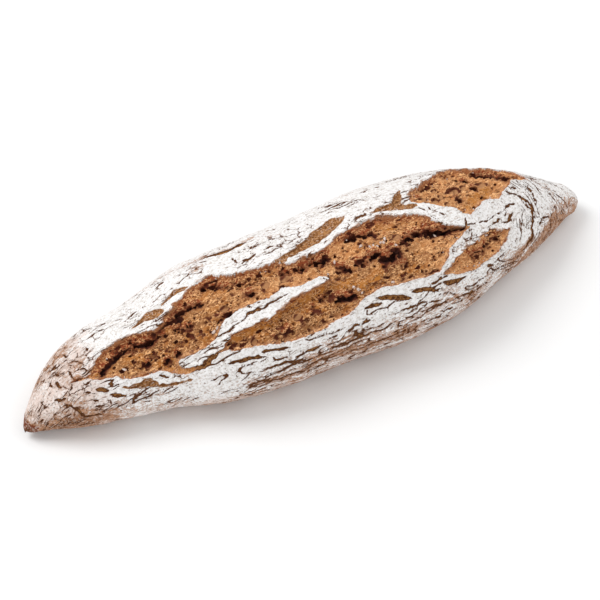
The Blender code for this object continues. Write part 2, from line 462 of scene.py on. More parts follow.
SLITS = (
    Slit(((-94.5, -13.5), (-90.5, -17)), 0.7),
    Slit(((-98.5, -12), (-95, -15)), 0.35),
    Slit(((-90.5, -18.5), (-85, -22.5)), 0.65),
    Slit(((-98, -15), (-95, -18)), 0.3),
    Slit(((-96.5, -19), (-93.5, -21)), 0.3),
    Slit(((-105.5, -10), (-104, -13), (-101.5, -19), (-100, -21), (-95, -24)), 0.5),
    Slit(((-105, -1.5), (-104.5, -4), (-104, -5.5)), 0.3),
    Slit(((-101, -6), (-101.5, -7.5), (-103, -8)), 0.3),
    Slit(((-100, -1.5), (-100, -4), (-99.5, -6)), 0.45),
    Slit(((-98, 8.5), (-98.5, 4)), 0.25),
    Slit(((-91, 3), (-91, 0.5)), 0.3),
    Slit(((-112.5, -1), (-112, -4.5), (-110.5, -5.5), (-110, -5)), 0.25),
    Slit(((-108, -6), (-106.5, -8), (-104.5, -9)), 0.35),
    Slit(((-72, -20.5), (-69, -23.5)), 0.35),
    Slit(((-49.5, -29.2), (-42, -30.8), (-36.5, -32.5)), 0.85),
    Slit(((-37, -30.5), (-33.5, -31), (-27, -32.5)), 0.5),
    Slit(((-34.5, -35.5), (-28.5, -36)), 0.35),
    Slit(((-38, -37.3), (-33, -37.8), (-27.5, -38)), 0.6),
    Slit(((45, -2), (46, -4), (48, -6.5), (50, -8.5)), 0.3),
    Slit(((43.5, -5), (45, -8), (46, -10.5)), 0.2),
    Slit(((57.8, -12), (56.6, -14), (56.2, -16.5)), 0.5),
    Slit(((-43.5, -40.5), (-40, -42), (-36, -45), (-31.5, -46), (-18.5, -45)), 0.45),
    Slit(((-43.5, -44), (-38, -46)), 0.35),
    Slit(((-26, -37.5), (-21.5, -37), (-15, -36.5)), 0.6),
    Slit(((-13, -35.5), (-8.5, -35)), 0.35),
    Slit(((-8, -33.5), (-4.5, -33.5)), 0.35),
    Slit(((-3, -36), (0.5, -35), (6, -35)), 0.4),
    Slit(((-0.5, -38), (4, -39.5)), 0.3),
    Slit(((-12, -40), (-7.5, -40), (-3.5, -40)), 0.4),
    Slit(((10, -28), (17, -30.5), (23, -34)), 1.0),
    Slit(((4.5, -30), (8, -30), (12, -31)), 0.75),
    Slit(((23, -31), (29, -32.5), (34.5, -35)), 0.9),
    Slit(((37, -33.5), (42.5, -34), (48, -33.5)), 0.95),
    Slit(((31.5, -31.5), (36, -31), (41, -30.5)), 0.45),
    Slit(((19.5, -37), (25.5, -37), (34, -39.5)), 0.5),
    Slit(((25, -40.5), (38.5, -42.5)), 0.35),
    Slit(((34.5, -37), (38, -37), (41, -39)), 0.4),
    Slit(((34, -41), (39, -42), (42, -41), (46, -42)), 0.35),
    Slit(((34, -45), (40.5, -45.5)), 0.4),
    Slit(((51.5, -40.5), (55.5, -40)), 0.3),
    Slit(((19, -40.5), (25, -43)), 0.35),
    Slit(((24.5, -45.5), (35, -48)), 0.35),
    Slit(((47.5, -43), (50, -41)), 0.7),
    Slit(((61.5, -38), (63.5, -33), (70, -29.5)), 0.35),
    Slit(((81, -5), (85.5, -7), (88.5, -9.5), (89.5, -12), (88.5, -17.5), (85.5, -24.5),
          (79.5, -30.5)), 0.6),
    Slit(((91.5, -2), (94, -4), (93.5, -8.5), (93, -10.5)), 0.3),
    Slit(((97.5, -0.5), (98.5, -4.5), (98.5, -7.5)), 0.3),
    Slit(((84.5, -3), (86.5, -4.5)), 0.3),
    Slit(((91, -20), (94, -17), (97.5, -15.5)), 0.35),
    Slit(((76.5, -12), (80, -10.5), (83, -10.5)), 0.6),
    Slit(((75, -15), (76.5, -13.5)), 0.55),
    Slit(((74, -18), (76, -17.5), (79, -15), (81.5, -13.5)), 0.45),
    Slit(((68.5, -17.5), (71.5, -17), (72.5, -15.5)), 0.5),
    Slit(((62.5, -15.5), (67.5, -15.5), (70, -14.5), (74.5, -13.5)), 0.35),
    Slit(((57.5, -15.5), (60.5, -15)), 0.3),
    Slit(((41.5, -1), (43, -3), (44, -5), (44.5, -7)), 0.25),
    Slit(((-88, 6.5), (-81, 6.5), (-77, 6)), 0.25),
    Slit(((-64.5, 16), (-60.5, 19)), 0.25),
    Slit(((-58.5, 14), (-52, 16.5)), 0.3),
    Slit(((-65, 7), (-63, 9)), 0.3),
    Slit(((-28, 5), (-24.5, 6.5), (-21, 7)), 0.5),
    Slit(((-14, 12), (-11.5, 12)), 0.4),
    Slit(((-29, 11), (-29.5, 6.5)), 0.2),
    Slit(((-17.5, 8), (-14.5, 8), (-10.5, 7)), 0.35),
    Slit(((-36, 18.5), (-28, 17), (-21, 17)), 1.3),
    Slit(((-48.5, -19), (-41, -17), (-32.5, -15.5), (-24.5, -14.5), (-19, -14)), 0.45),
    Slit(((-66, -23.3), (-62, -25), (-57.5, -25.8), (-53, -24.3), (-51, -23.6)), 0.95),
)

CAVES = (
    Cave(((-91, -10.6), (-86, -8.4), (-82.5, -7), (-79.5, -6.5)), 0.9, 0.6),
    Cave(((-77.5, -6.6), (-73.5, -7.2), (-69, -8.3)), 1.3, 0.6),
    Cave(((-68, -5.5), (-65, -8.5)), 0.9),
    Cave(((-67, -4.6), (-62.5, -5), (-58, -5.6)), 0.8, 0.6),
    Cave(((-62, -8), (-58.5, -10.5), (-55.5, -10.5)), 0.8),
    Cave(((-58.5, -3.2), (-53.5, -3.2), (-49, -3.8)), 1.0, 0.6),
    Cave(((-45.5, 3.0), (-41, 0), (-37.5, -1.5)), 0.9),
    Cave(((-36, -1), (-30, -4.0)), 0.5),
    Cave(((-34.5, -8.5), (-30.5, -9)), 1.0),
    Cave(((-46.5, -13), (-42, -13)), 0.7),
    Cave(((-67.8, -18), (-67, -18)), 1.6),
    Cave(((-64.5, -17.5), (-63.5, -17.3)), 0.8),
    Cave(((-74.5, -15.5), (-74, -15.5)), 0.8),
    Cave(((-18, -5.2), (-11, -6)), 0.8),
    Cave(((-11, -6.5), (-6.5, -6.2)), 1.2),
    Cave(((-4.5, -7), (-2, -6.5), (1, -6.2)), 1.5),
    Cave(((1, -9.5), (3, -13), (6, -14.3)), 1.0),
    Cave(((11.5, -2), (14.5, -2), (18, -3.5), (20.5, -4)), 1.0),
    Cave(((9, -13.5), (13, -14.2)), 1.0),
    Cave(((14, -14), (18, -13.2)), 1.2),
    Cave(((18.5, -17), (22, -17), (25.5, -17)), 2.0),
    Cave(((22.5, -14), (25.5, -15)), 1.1),
    Cave(((23.5, -21), (26.5, -20.8)), 0.7),
    Cave(((28, -13.5), (31, -12.2), (36.5, -11.2)), 1.2),
    Cave(((38.5, -12.6), (43, -13.5), (47.5, -14), (54.5, -15.2)), 1.5, 0.7),
    Cave(((-17, -8.6), (-16, -8.6)), 1.0),
    Cave(((17.5, -19), (18, -19)), 0.8),
    Cave(((-26.5, -28), (-25, -28)), 1.1),
    Cave(((-19.5, -26.5), (-19, -26.5)), 0.8),
    Cave(((-31, -27), (-30.5, -27)), 0.7),
    Cave(((-12.5, -22), (-12, -22)), 0.9),
    Cave(((-14.5, -24.5), (-14, -24.5)), 0.6),
    Cave(((-8.5, -20.5), (-6.5, -20.8)), 0.8),
    Cave(((2.5, -24), (-0.5, -24), (-3, -23)), 1.1),
    Cave(((77.5, 10.5), (80, 8.2), (82.5, 5.8)), 1.9, 0.3),
    Cave(((83.5, 5), (87, 3.4)), 1.6, 0.3),
    Cave(((45, 3.2), (46, 3.4)), 0.8),
    Cave(((59, 2.4), (62.5, 2.4)), 0.7),
    Cave(((69, 6), (71, 6)), 0.7),
    Cave(((59, -4.5), (60, -4.5)), 1.2),
    Cave(((68, -0.5), (71, -0.8)), 0.8),
    Cave(((69.5, -6), (70, -6)), 0.8),
    Cave(((53, -27.5), (59.5, -26.5), (63, -24.5)), 0.8),
    Cave(((67.5, -23.5), (68, -23.5)), 0.9),
)


TORN_X = 110.0
TORN_G = (-40.0, 24.0)
OFF_TEARS = 12.0
OFF_SLITS = -3.0
SLIT_REACH = 4.0


def tear_distance(x: np.ndarray, g: np.ndarray, depth: Depth) -> np.ndarray:
    """Measure how far places lie from the openings of one depth.

    Args:
        x: places along the loaf.
        g: places round the girth.
        depth: which openings count.

    Returns:
        Distances to the nearest edge, negative inside an opening.
    """
    distance = np.full(x.shape, OFF_TEARS)
    near = (np.abs(x) < TORN_X) & (g > TORN_G[0]) & (g < TORN_G[1])
    for opening in OPENINGS.values():
        if opening.depth is depth:
            distance[near] = np.minimum(distance[near], opening.distance(x[near], g[near]))
    return distance


def slit_inset(x: np.ndarray, g: np.ndarray) -> np.ndarray:
    """Measure how far places lie inside the slits.

    Args:
        x: places along the loaf.
        g: places round the girth.

    Returns:
        Distances to the nearest slit's side, negative outside all slits.
    """
    inset = np.full(x.shape, OFF_SLITS)
    for slit in SLITS:
        corners = np.array(slit.path)
        low = corners.min(axis=0) - SLIT_REACH
        high = corners.max(axis=0) + SLIT_REACH
        near = (x > low[0]) & (x < high[0]) & (g > low[1]) & (g < high[1])
        inset[near] = np.maximum(inset[near], slit.inset(x[near], g[near]))
    return inset


@dataclass(frozen=True)
class SoftBand:
    """A band along a path that fades out to both sides."""

    path: Outline
    half_width: float
    amount: float

    def strength(self, x: np.ndarray, g: np.ndarray) -> np.ndarray:
        """Return the band's strength, from 0 to its amount on the path."""
        gap = -Slit(self.path, 0.0).inset(x, g)
        return self.amount * np.exp(-((gap / self.half_width) ** 2))


GOLDEN_BANDS = (
    SoftBand(((-45, -22), (-36, -21.6), (-27, -20.6), (-18, -18.6), (-9, -17.2), (-3, -16.6)),
             1.9, 1.0),
    SoftBand(((0, -18), (4, -20.5), (8, -22), (14, -22)), 2.4, 0.8),
    SoftBand(((24, -2), (30, -5.5)), 1.5, 0.8),
    SoftBand(((62, -8), (67, -5), (71, -4.5), (75, -1.5)), 2.6, 0.9),
    SoftBand(((-72, -2.5), (-66, -4.5)), 1.2, 0.6),
    SoftBand(((-64, -13), (-60, -15)), 2.4, 0.6),
    SoftBand(((-70, -20), (-65.5, -22.8), (-60.5, -25)), 1.5, 1.0),
    SoftBand(((-22, -2.5), (-12, -3.5)), 1.2, 0.6),
)
WORN_BANDS = (
    SoftBand(((-20, -41.5), (-15.5, -42.5), (-5.5, -45), (4.5, -46), (16.5, -47.5), (24, -48)),
             2.2, 0.32),
    SoftBand(((-43.5, -40.5), (-36, -44.5), (-31.5, -46), (-18.5, -45)), 1.3, 0.22),
    SoftBand(((-118.5, -3), (-114, -10.5), (-110, -13.5), (-103, -18)), 3.4, 0.34),
    SoftBand(((-102, -19), (-92, -26.5), (-77.5, -34.5), (-66, -38)), 3.0, 0.12),
    SoftBand(((74.5, -34), (81, -28.5), (85.5, -24.5)), 1.2, 0.5),
    SoftBand(((78, -38), (87.5, -29.5), (96, -22), (99.5, -18.5)), 2.0, 0.42),
    SoftBand(((97, -20), (103, -16), (109.5, -12.5), (118, -6)), 5.5, 0.42),
    SoftBand(((-60, 21), (-36, 19), (-18, 18)), 1.8, 0.4),
    SoftBand(((-45, 12.5), (-40, 12.5)), 2.0, 0.35),
    SoftBand(((-108, 7), (-97, 8.5)), 4.0, 0.25),
    SoftBand(((-96, -1.5), (-91, 0.5)), 2.4, 0.3),
    SoftBand(((-12, 13.5), (-6, 13)), 1.8, 0.3),
)


# --------------------------------------------------------------------------------------
# Meshes
# --------------------------------------------------------------------------------------


def deselect() -> None:
    """Leave nothing selected."""
    bpy.ops.object.select_all(action="DESELECT")


def add_field(mesh: bpy.types.Mesh, name: str, values: np.ndarray) -> None:
    """Store one number for each vertex of a mesh."""
    layer = mesh.attributes.new(name, "FLOAT", "POINT")
    layer.data.foreach_set("value", np.ascontiguousarray(values, dtype=np.float32))


class LoafPart:
    """What the loaf's sub-assemblies have in common."""

    def dress(self, piece: bpy.types.Object, slot: str, material: bpy.types.Material) -> None:
        """Give a finished piece its material and its place in the frame.

        Args:
            piece: the piece.
            slot: the kind of surface it is; not used.
            material: its finish.
        """
        piece.data.materials.clear()
        piece.data.materials.append(material)
        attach(piece, "root")
        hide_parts("loaf")


# --------------------------------------------------------------------------------------
# Crust
# --------------------------------------------------------------------------------------


@dataclass(frozen=True)
class Sector:
    """A lengthwise part of the crust, between two shares of the half girth.

    runs holds (end share, steps) pairs that go down from the start share.
    """

    name: str
    start: float
    runs: tuple[tuple[float, int], ...]

    def shares(self) -> np.ndarray:
        """Work out where the sector has points.

        Returns:
            Shares of the half girth, from the start share down.
        """
        values = [self.start]
        for end, steps in self.runs:
            begin = values[-1]
            values += [begin + (end - begin) * step / steps for step in range(1, steps + 1)]
        return np.array(values)


@dataclass
class Crust(LoafPart):
    """The floured skin, rolled out in three lengthwise sectors that meet exactly."""

    form: LoafForm
    rings: int = 600
    end_crowding: float = 0.3
    plunge: float = 6.5
    plunge_share: float = 0.30
    wall_width: float = 0.8
    core_level: float = 0.3
    crackle_steps: int = 960
    sectors: tuple[Sector, ...] = (
        Sector("crust_far_flank", 1.0, ((0.775, 12), (0.3, 70))),
        Sector("crust_crown", 0.3, ((-0.3, 160),)),
        Sector("crust_near_flank", -0.3, ((-0.7, 88), (-0.775, 8), (-1.0, 12))),
    )

    def ring_places(self) -> np.ndarray:
        """Space the rings, closer together at the tips.

        Returns:
            The x of every ring.
        """
        share = np.linspace(0.0, 1.0, self.rings + 1)
        even = 2.0 * share - 1.0
        crowded = -np.cos(math.pi * share)
        return self.form.half_length * (even + self.end_crowding * (crowded - even))

    def flour(self, x: np.ndarray, g: np.ndarray, skin: np.ndarray) -> np.ndarray:
        """Spread the flour: thick on top, thinner low down, at the tips and on worn bands.

        Args:
            x: places along the loaf.
            g: places round the girth.
            skin: the same places on the skin, in mm.

        Returns:
            How thickly the flour lies, from 0 to 1.
        """
        level = skin[..., 2] / self.form.height(x)
        thick = 0.97 - 0.38 * ramp(level, 0.78, 0.42) - 0.12 * ramp(level, 0.36, 0.1)
        thick -= 0.25 * ramp(x, -86.0, -100.0) + 0.12 * ramp(x, 92.0, 106.0)
        thick += 0.25 * ramp(x, 104.0, 114.0) * ramp(g, -7.0, -1.0)
        thick += 0.14 * ramp(np.hypot((x + 62.0) / 30.0, (g + 38.0) / 11.0), 1.1, 0.6)
        for band in WORN_BANDS:
            thick -= band.strength(x, g)
        thick += 0.22 * layered_noise(skin, (13.0, 5.0, 5.0), seed=21)
        thick += 0.20 * layered_noise(skin, (4.5, 1.3, 1.3), seed=25)
        return np.clip(thick, 0.0, 1.0)

    def line_gap(self, pattern: np.ndarray, x: np.ndarray, g: np.ndarray) -> np.ndarray:
        """Measure how far places lie from the lines along which a pattern crosses zero.

        Args:
            pattern: the pattern's value at each place.
            x: places along the loaf.
            g: places round the girth.

        Returns:
            Distances in mm.
        """
        least_step = 0.01
        least_slope = 0.15
        step_x = np.maximum(np.abs(np.gradient(x, axis=0)), least_step)
        step_g = np.maximum(np.abs(np.gradient(g, axis=1)), least_step)
        slope_x = np.gradient(pattern, axis=0) / step_x
        slope_g = np.gradient(pattern, axis=1) / step_g
        return np.abs(pattern) / np.maximum(np.hypot(slope_x, slope_g), least_slope)

    def wrinkles(self, x: np.ndarray, g: np.ndarray, skin: np.ndarray) -> np.ndarray:
        """Draw the long thin cracks that follow the dough's pull.

        They run lengthwise in two sizes, and crosswise near the right end.  Few of them reach
        the plain part of the near side's left half, and more cross the part right of it.

        Args:
            x: places along the loaf.
            g: places round the girth.
            skin: the same places on the skin, in mm.

        Returns:
            How far each place lies inside a crack, negative outside.
        """
        drift = layered_noise(skin, 9.0, seed=81)
        patchy = layered_noise(skin, (8.0, 3.5, 3.5), seed=85)
        level = skin[..., 2] / self.form.height(x)
        still = np.zeros_like(x)
        plain = ramp(x, -50.0, -60.0) * ramp(g, -27.0, -31.0)
        busy = ramp(g, -30.0, -34.0) * ramp(x, -54.0, -44.0)
        lengthwise = np.stack([x / 10.0, g / 2.0 + 1.1 * drift, still], axis=-1)
        width = 0.80 * patchy + 0.02 + 0.20 * ramp(g, -22.0, -30.0) + 0.08 * ramp(level, 0.6, 0.3)
        width -= 0.8 * ramp(x, 74.0, 84.0) + 0.12 * ramp(x, -84.0, -96.0)
        width += 0.16 * busy - 0.35 * plain
        width = np.minimum(width, 0.30 + 0.25 * patchy)
        lines = layered_noise(lengthwise, 1.0, seed=83, layers=2)
        inset = width - self.line_gap(lines, x, g)
        bend = x + 0.035 * (g + 14.0) ** 2
        crosswise = np.stack([bend / 1.8 + 0.6 * drift, g / 10.0, still + 9.0], axis=-1)
        width = 0.7 * patchy + 0.12 - 0.9 * ramp(bend, 80.0, 73.0) - 0.7 * ramp(x, 110.0, 115.0)
        width = np.minimum(width, 0.24)
        lines = layered_noise(crosswise, 1.0, seed=84, layers=2)
        inset = np.maximum(inset, width - self.line_gap(lines, x, g))
        fine = np.stack([x / 5.0, g / 1.1 + 0.8 * drift, still + 4.0], axis=-1)
        width = 0.45 * patchy - 0.02 + 0.10 * ramp(level, 0.8, 0.5) - 0.8 * ramp(x, 74.0, 84.0)
        width += 0.12 * busy - 0.4 * plain
        width = np.minimum(width, 0.13)
        lines = layered_noise(fine, 1.0, seed=86, layers=2)
        inset = np.maximum(inset, width - self.line_gap(lines, x, g))
        return inset - 0.8 * self.bridge(x, g)

    def bridge(self, x: np.ndarray, g: np.ndarray) -> np.ndarray:
        """Mark the smooth strip of crust between the openings, and faintly the long ribbon.

        Args:
            x: places along the loaf.
            g: places round the girth.

        Returns:
            1 on the strip, a little on the ribbon and 0 elsewhere.
        """
        strip = np.hypot((x - 50.0) / 13.0, (g + 7.5 + 0.55 * (x - 50.0)) / 5.0)
        ribbon = np.hypot((x + 28.0) / 22.0, (g + 16.0 - 0.1 * (x + 28.0)) / 3.0)
        return np.maximum(ramp(strip, 1.2, 0.8), 0.16 * ramp(ribbon, 1.2, 0.8))

    def crackle(self, x: np.ndarray, g: np.ndarray, skin: np.ndarray) -> np.ndarray:
        """Draw the cracks between plates of flour.

        Args:
            x: places along the loaf.
            g: places round the girth.
            skin: the same places on the skin, in mm.

        Returns:
            How far each place lies inside a crack, negative outside.
        """
        half = self.form.half_length
        knots = [-half, -92.0, -74.0, 74.0, 90.0, half]
        lengths = [4.2, 4.2, 5.0, 5.0, 3.6, 3.6]
        plate_g = np.interp(x, knots, [4.0, 3.4, 2.6, 2.6, 4.0, 4.0])
        fine = np.linspace(-half, half, self.crackle_steps + 1)
        counts = np.cumsum((fine[1] - fine[0]) / np.interp(fine, knots, lengths))
        warp = 0.5 * layered_noise(skin, 3.5, seed=31)
        places = np.stack([np.interp(x, fine, counts) + warp, g / plate_g - 1.2 * warp], axis=-1)
        gap = plate_edges(places, 35) * np.minimum(np.interp(x, knots, lengths), plate_g)
        strength = layered_noise(skin, (7.0, 3.5, 3.5), seed=38)
        width = 0.50 * strength + 0.10 * ramp(x, -86.0, -96.0) - 0.15 * ramp(g, -30.0, -38.0)
        width -= 0.35 * ramp(g, -24.0, -29.0) * ramp(x, 72.0, 64.0)
        width -= 0.4 * ramp(x, -44.0, -54.0) * ramp(g, -27.0, -31.0) * ramp(x, -98.0, -88.0)
        return np.minimum(width - 0.04, 0.12) - gap - 0.8 * self.bridge(x, g)

    def tears(self, x: np.ndarray, g: np.ndarray, ragged: np.ndarray) -> tuple[np.ndarray, ...]:
        """Find the ragged edges of the openings.

        Args:
            x: places along the loaf.
            g: places round the girth.
            ragged: how far the edges stray.

        Returns:
            The distance to the deep openings, the distance to the shallow ones, and from 0 to 1
            whether a place lies beyond the far edge of a deep one.
        """
        torn = tear_distance(x, g, Depth.CRUMB)
        least_fall = -1e-6
        fall = np.minimum(np.gradient(g, axis=1), least_fall)
        beyond = ramp(np.gradient(torn, axis=1) / fall, 0.1, 0.6)
        torn = torn + ragged * (1.0 + 0.5 * beyond)
        return torn, tear_distance(x, g, Depth.SKIN) + 1.1 * ragged, beyond

    def relief(self, skin: np.ndarray, torn: np.ndarray, shallow: np.ndarray, crack: np.ndarray,
               drawn: np.ndarray) -> np.ndarray:
        """Work out how far the skin stands up or sinks in.

        Args:
            skin: places on the skin, in mm.
            torn: the distance to the deep openings.
            shallow: the distance to the shallow openings.
            crack: how far each place lies inside a crack.
            drawn: how far it lies inside a slit.

        Returns:
            Heights in mm.
        """
        rise = 0.75 * layered_noise(skin, 16.0, seed=61) + 0.32 * layered_noise(skin, 5.5, seed=64)
        rise += 0.16 * layered_noise(skin, (5.0, 1.1, 1.1), seed=67)
        rise += 0.09 * value_noise(skin, 0.7, seed=69)
        rise += 0.65 * np.exp(-np.maximum(torn, 0.0) / 1.5)
        rise += 0.30 * np.exp(-np.maximum(shallow, 0.0) / 1.2)
        depth = 0.34 + 0.30 * ramp(crack, 0.0, 0.6)
        rise -= depth * ramp(crack, -0.10, 0.20)
        rise += 0.10 * np.exp(-np.abs(crack) / 0.4)
        grain = 0.5 * layered_noise(skin, 1.1, seed=71) + 0.2 * value_noise(skin, 0.55, seed=73)
        bare = np.maximum(ramp(shallow, 0.15, -0.55) * 1.1, 0.4 * ramp(drawn, 0.3, 0.8))
        rise -= (1.0 + grain) * bare
        return rise

    def roll(self) -> dict[str, np.ndarray]:
        """Work out the whole crust as one sheet of rings.

        Returns:
            Points, normals and the fields of the finish, each ring by ring from the middle
            of the sole up the +Y side, over the crest and down the -Y side.
        """
        x = self.ring_places()
        shares = np.concatenate([s.shares()[min(n, 1):] for n, s in enumerate(self.sectors)])
        _, table = self.form.girth(x)
        g = shares[None, :] * table[:, :1]
        skin, normals = self.form.unroll(x, g)
        across = np.broadcast_to(x[:, None], g.shape)
        grain = skin / np.array([1.6, 1.0, 1.0])
        ragged = 0.75 * layered_noise(grain, 2.6, seed=51, layers=2)
        ragged += 0.30 * value_noise(grain, 1.0, seed=55)
        torn, shallow, beyond = self.tears(across, g, ragged)
        # Slits and cracks, wandering a little off their paths.
        sway = layered_noise(skin, 3.0, seed=57)
        fray = layered_noise(skin, (1.5, 0.8, 0.8), seed=59, layers=2)
        drawn = slit_inset(across + 1.2 * sway, g - 0.9 * sway) + 0.35 * ragged + 0.40 * fray
        crack = np.maximum(self.wrinkles(across, g, skin), self.crackle(across, g, skin))
        crack -= 0.30 * ramp(g, 22.0, 32.0)
        crack = np.maximum(crack + 0.10 * ragged, drawn)
        # Flour, missing on the burnt tip, along the far edges of the tears and beside cracks.
        tip = ramp(across + 2.2 * sway, -116.0, -118.0) * ramp(skin[..., 2], 9.5, 6.5)
        fringe = beyond * np.exp(-((np.maximum(torn, 0.0) / 0.8) ** 2))
        fringe *= ramp(layered_noise(grain, 2.0, seed=53, layers=2), -0.25, 0.35)
        flour = self.flour(across, g, skin) - 0.8 * tip - 0.8 * fringe
        flour -= 0.24 * np.exp(-((np.minimum(crack, 0.0) / 0.5) ** 2)) * ramp(flour, 0.95, 0.55)
        # The skin itself, which stays calm at the sole and the tips and plunges into the tears.
        calm = ramp(skin[..., 2], 0.3, 5.0) * ramp(self.form.half_length - np.abs(across), 0.0, 5.0)
        rise = self.relief(skin, torn, shallow, crack, drawn)
        sink = np.minimum(self.plunge, self.plunge_share * self.form.height(across))
        points = skin + normals * (rise * calm)[..., None]
        points -= normals * (sink * ramp(torn, 0.1, 0.1 - self.wall_width))[..., None]
        points[..., 2] = np.maximum(points[..., 2], 0.0)
        points[:, -1] = points[:, 0]
        # How dark it has baked, and where the thin flour blushes.
        bake = tip + 0.35 * ramp(skin[..., 2], 7.0, 1.0) + 0.55 * fringe
        bake += 0.35 * ramp(across, -104.0, -113.0) * ramp(skin[..., 2], 14.0, 6.0)
        level = skin[..., 2] / self.form.height(across)
        blush = 0.75 * ramp(across, -82.0, -96.0) + 0.5 * ramp(level, 0.5, 0.2)
        blush += 0.5 * ramp(across, 92.0, 104.0) * ramp(g, -6.0, -14.0)
        blush += 0.4 * ramp(across, -30.0, -60.0) * ramp(g, 16.0, 24.0)
        return {
            "x": x,
            "points": points,
            "normals": self.normals(points),
            "torn": np.clip(torn, -3.0, 3.0),
            "shallow": np.clip(shallow, -3.0, 3.0),
            "crack": np.clip(crack, -1.5, 1.5),
            "flour": flour,
            "bake": np.clip(bake, 0.0, 1.0),
            "blush": np.clip(blush, 0.0, 1.0),
        }

    def normals(self, points: np.ndarray) -> np.ndarray:
        """Work out the outward normals of the sheet of rings.

        Args:
            points: the sheet's points, ring by ring.

        Returns:
            One normal for each point.
        """
        wrapped = np.concatenate([points[:, -2:-1], points, points[:, 1:2]], axis=1)
        around = wrapped[:, 2:] - wrapped[:, :-2]
        along = np.gradient(points, axis=0)
        facing = unit(np.cross(around, along))
        facing[0] = (-1.0, 0.0, 0.0)
        facing[-1] = (1.0, 0.0, 0.0)
        return facing

    def build(self, finish: bpy.types.Material) -> list[bpy.types.Object]:
        """Roll each sector out of a sphere and dress it.

        Args:
            finish: the crust's material.

        Returns:
            The pieces, from the far flank to the near one.
        """
        sheet = self.roll()
        pieces = []
        first = 0
        for sector in self.sectors:
            count = len(sector.shares())
            pieces.append(self.build_sector(sector.name, sheet, first, count, finish))
            first += count - 1
        return pieces

    def build_sector(self, name: str, sheet: dict[str, np.ndarray], first: int, count: int,
                     finish: bpy.types.Material) -> bpy.types.Object:
        """Make one closed sector: its part of the skin, closed through the loaf's core.

        Args:
            name: the piece's name.
            sheet: the whole crust as roll gives it.
            first: the sector's first column in the sheet.
            count: its number of columns.
            finish: the crust's material.

        Returns:
            The piece.
        """
        deselect()
        around = count + 1
        bpy.ops.mesh.primitive_uv_sphere_add(segments=around, ring_count=self.rings, radius=1.0)
        piece = bpy.context.object
        piece.name = name
        mesh = piece.data
        mesh.name = name
        ball = np.empty(3 * len(mesh.vertices), dtype=np.float32)
        mesh.vertices.foreach_get("co", ball)
        ball = ball.reshape(-1, 3).astype(np.float64)
        # Each vertex of the ball takes its place in the sheet; the last column is the core.
        ring = np.rint(np.arccos(np.clip(-ball[:, 2], -1, 1)) / math.pi * self.rings).astype(int)
        turn = np.arctan2(ball[:, 1], ball[:, 0]) % math.tau
        column = np.rint(turn / math.tau * around).astype(int) % around
        poles = (ring == 0) | (ring == self.rings)
        column[poles] = 0
        core = column == count
        column[core] = 0
        place = (ring, first + column)
        points = sheet["points"][place]
        x = sheet["x"][ring[core]]
        middle = self.core_level * self.form.height(x)
        points[core] = np.stack([x, self.form.along(x, 2), middle + 1.0], axis=-1)
        mesh.vertices.foreach_set("co", (points * MM).astype(np.float32).ravel())
        for layer in ("torn", "shallow", "crack", "flour", "bake", "blush"):
            add_field(mesh, layer, sheet[layer][place])
        while mesh.uv_layers:
            mesh.uv_layers.remove(mesh.uv_layers[0])
        mesh.update()
        bpy.ops.object.shade_smooth()
        mesh.normals_split_custom_set_from_vertices(sheet["normals"][place].tolist())
        self.dress(piece, "crust", finish)
        return piece


# --------------------------------------------------------------------------------------
# Crumb
# --------------------------------------------------------------------------------------


@dataclass(frozen=True)
class Bubble:
    """A smooth round bubble that the tear has opened."""

    x: float
    g: float
    radius: float
    stretch: float = 1.0


BUBBLES = (
    Bubble(-25.5, -7, 1.8),
    Bubble(-17.2, -7.6, 1.9, 1.3),
    Bubble(-43, -10, 1.3, 1.3),
    Bubble(-38.5, -26, 1.3),
    Bubble(-20, -23.5, 1.4, 1.3),
    Bubble(60.5, 1.2, 2.4, 1.3),
    Bubble(60, -3.6, 1.4, 1.2),
    Bubble(46, 2.2, 1.8, 1.2),
    Bubble(46, -0.8, 1.1),
    Bubble(50, -0.8, 1.6, 1.2),
    Bubble(54, 0.8, 1.3),
    Bubble(53.5, -4.4, 1.2, 1.2),
    Bubble(65.5, 1.5, 1.2, 1.3),
    Bubble(54.5, 6.5, 1.3, 1.2),
    Bubble(74.5, 1.5, 1.8, 1.5),
    Bubble(70, -1.2, 1.2),
    Bubble(67, -23.5, 1.2, 1.2),
    Bubble(27.5, -9.5, 1.3, 1.4),
)


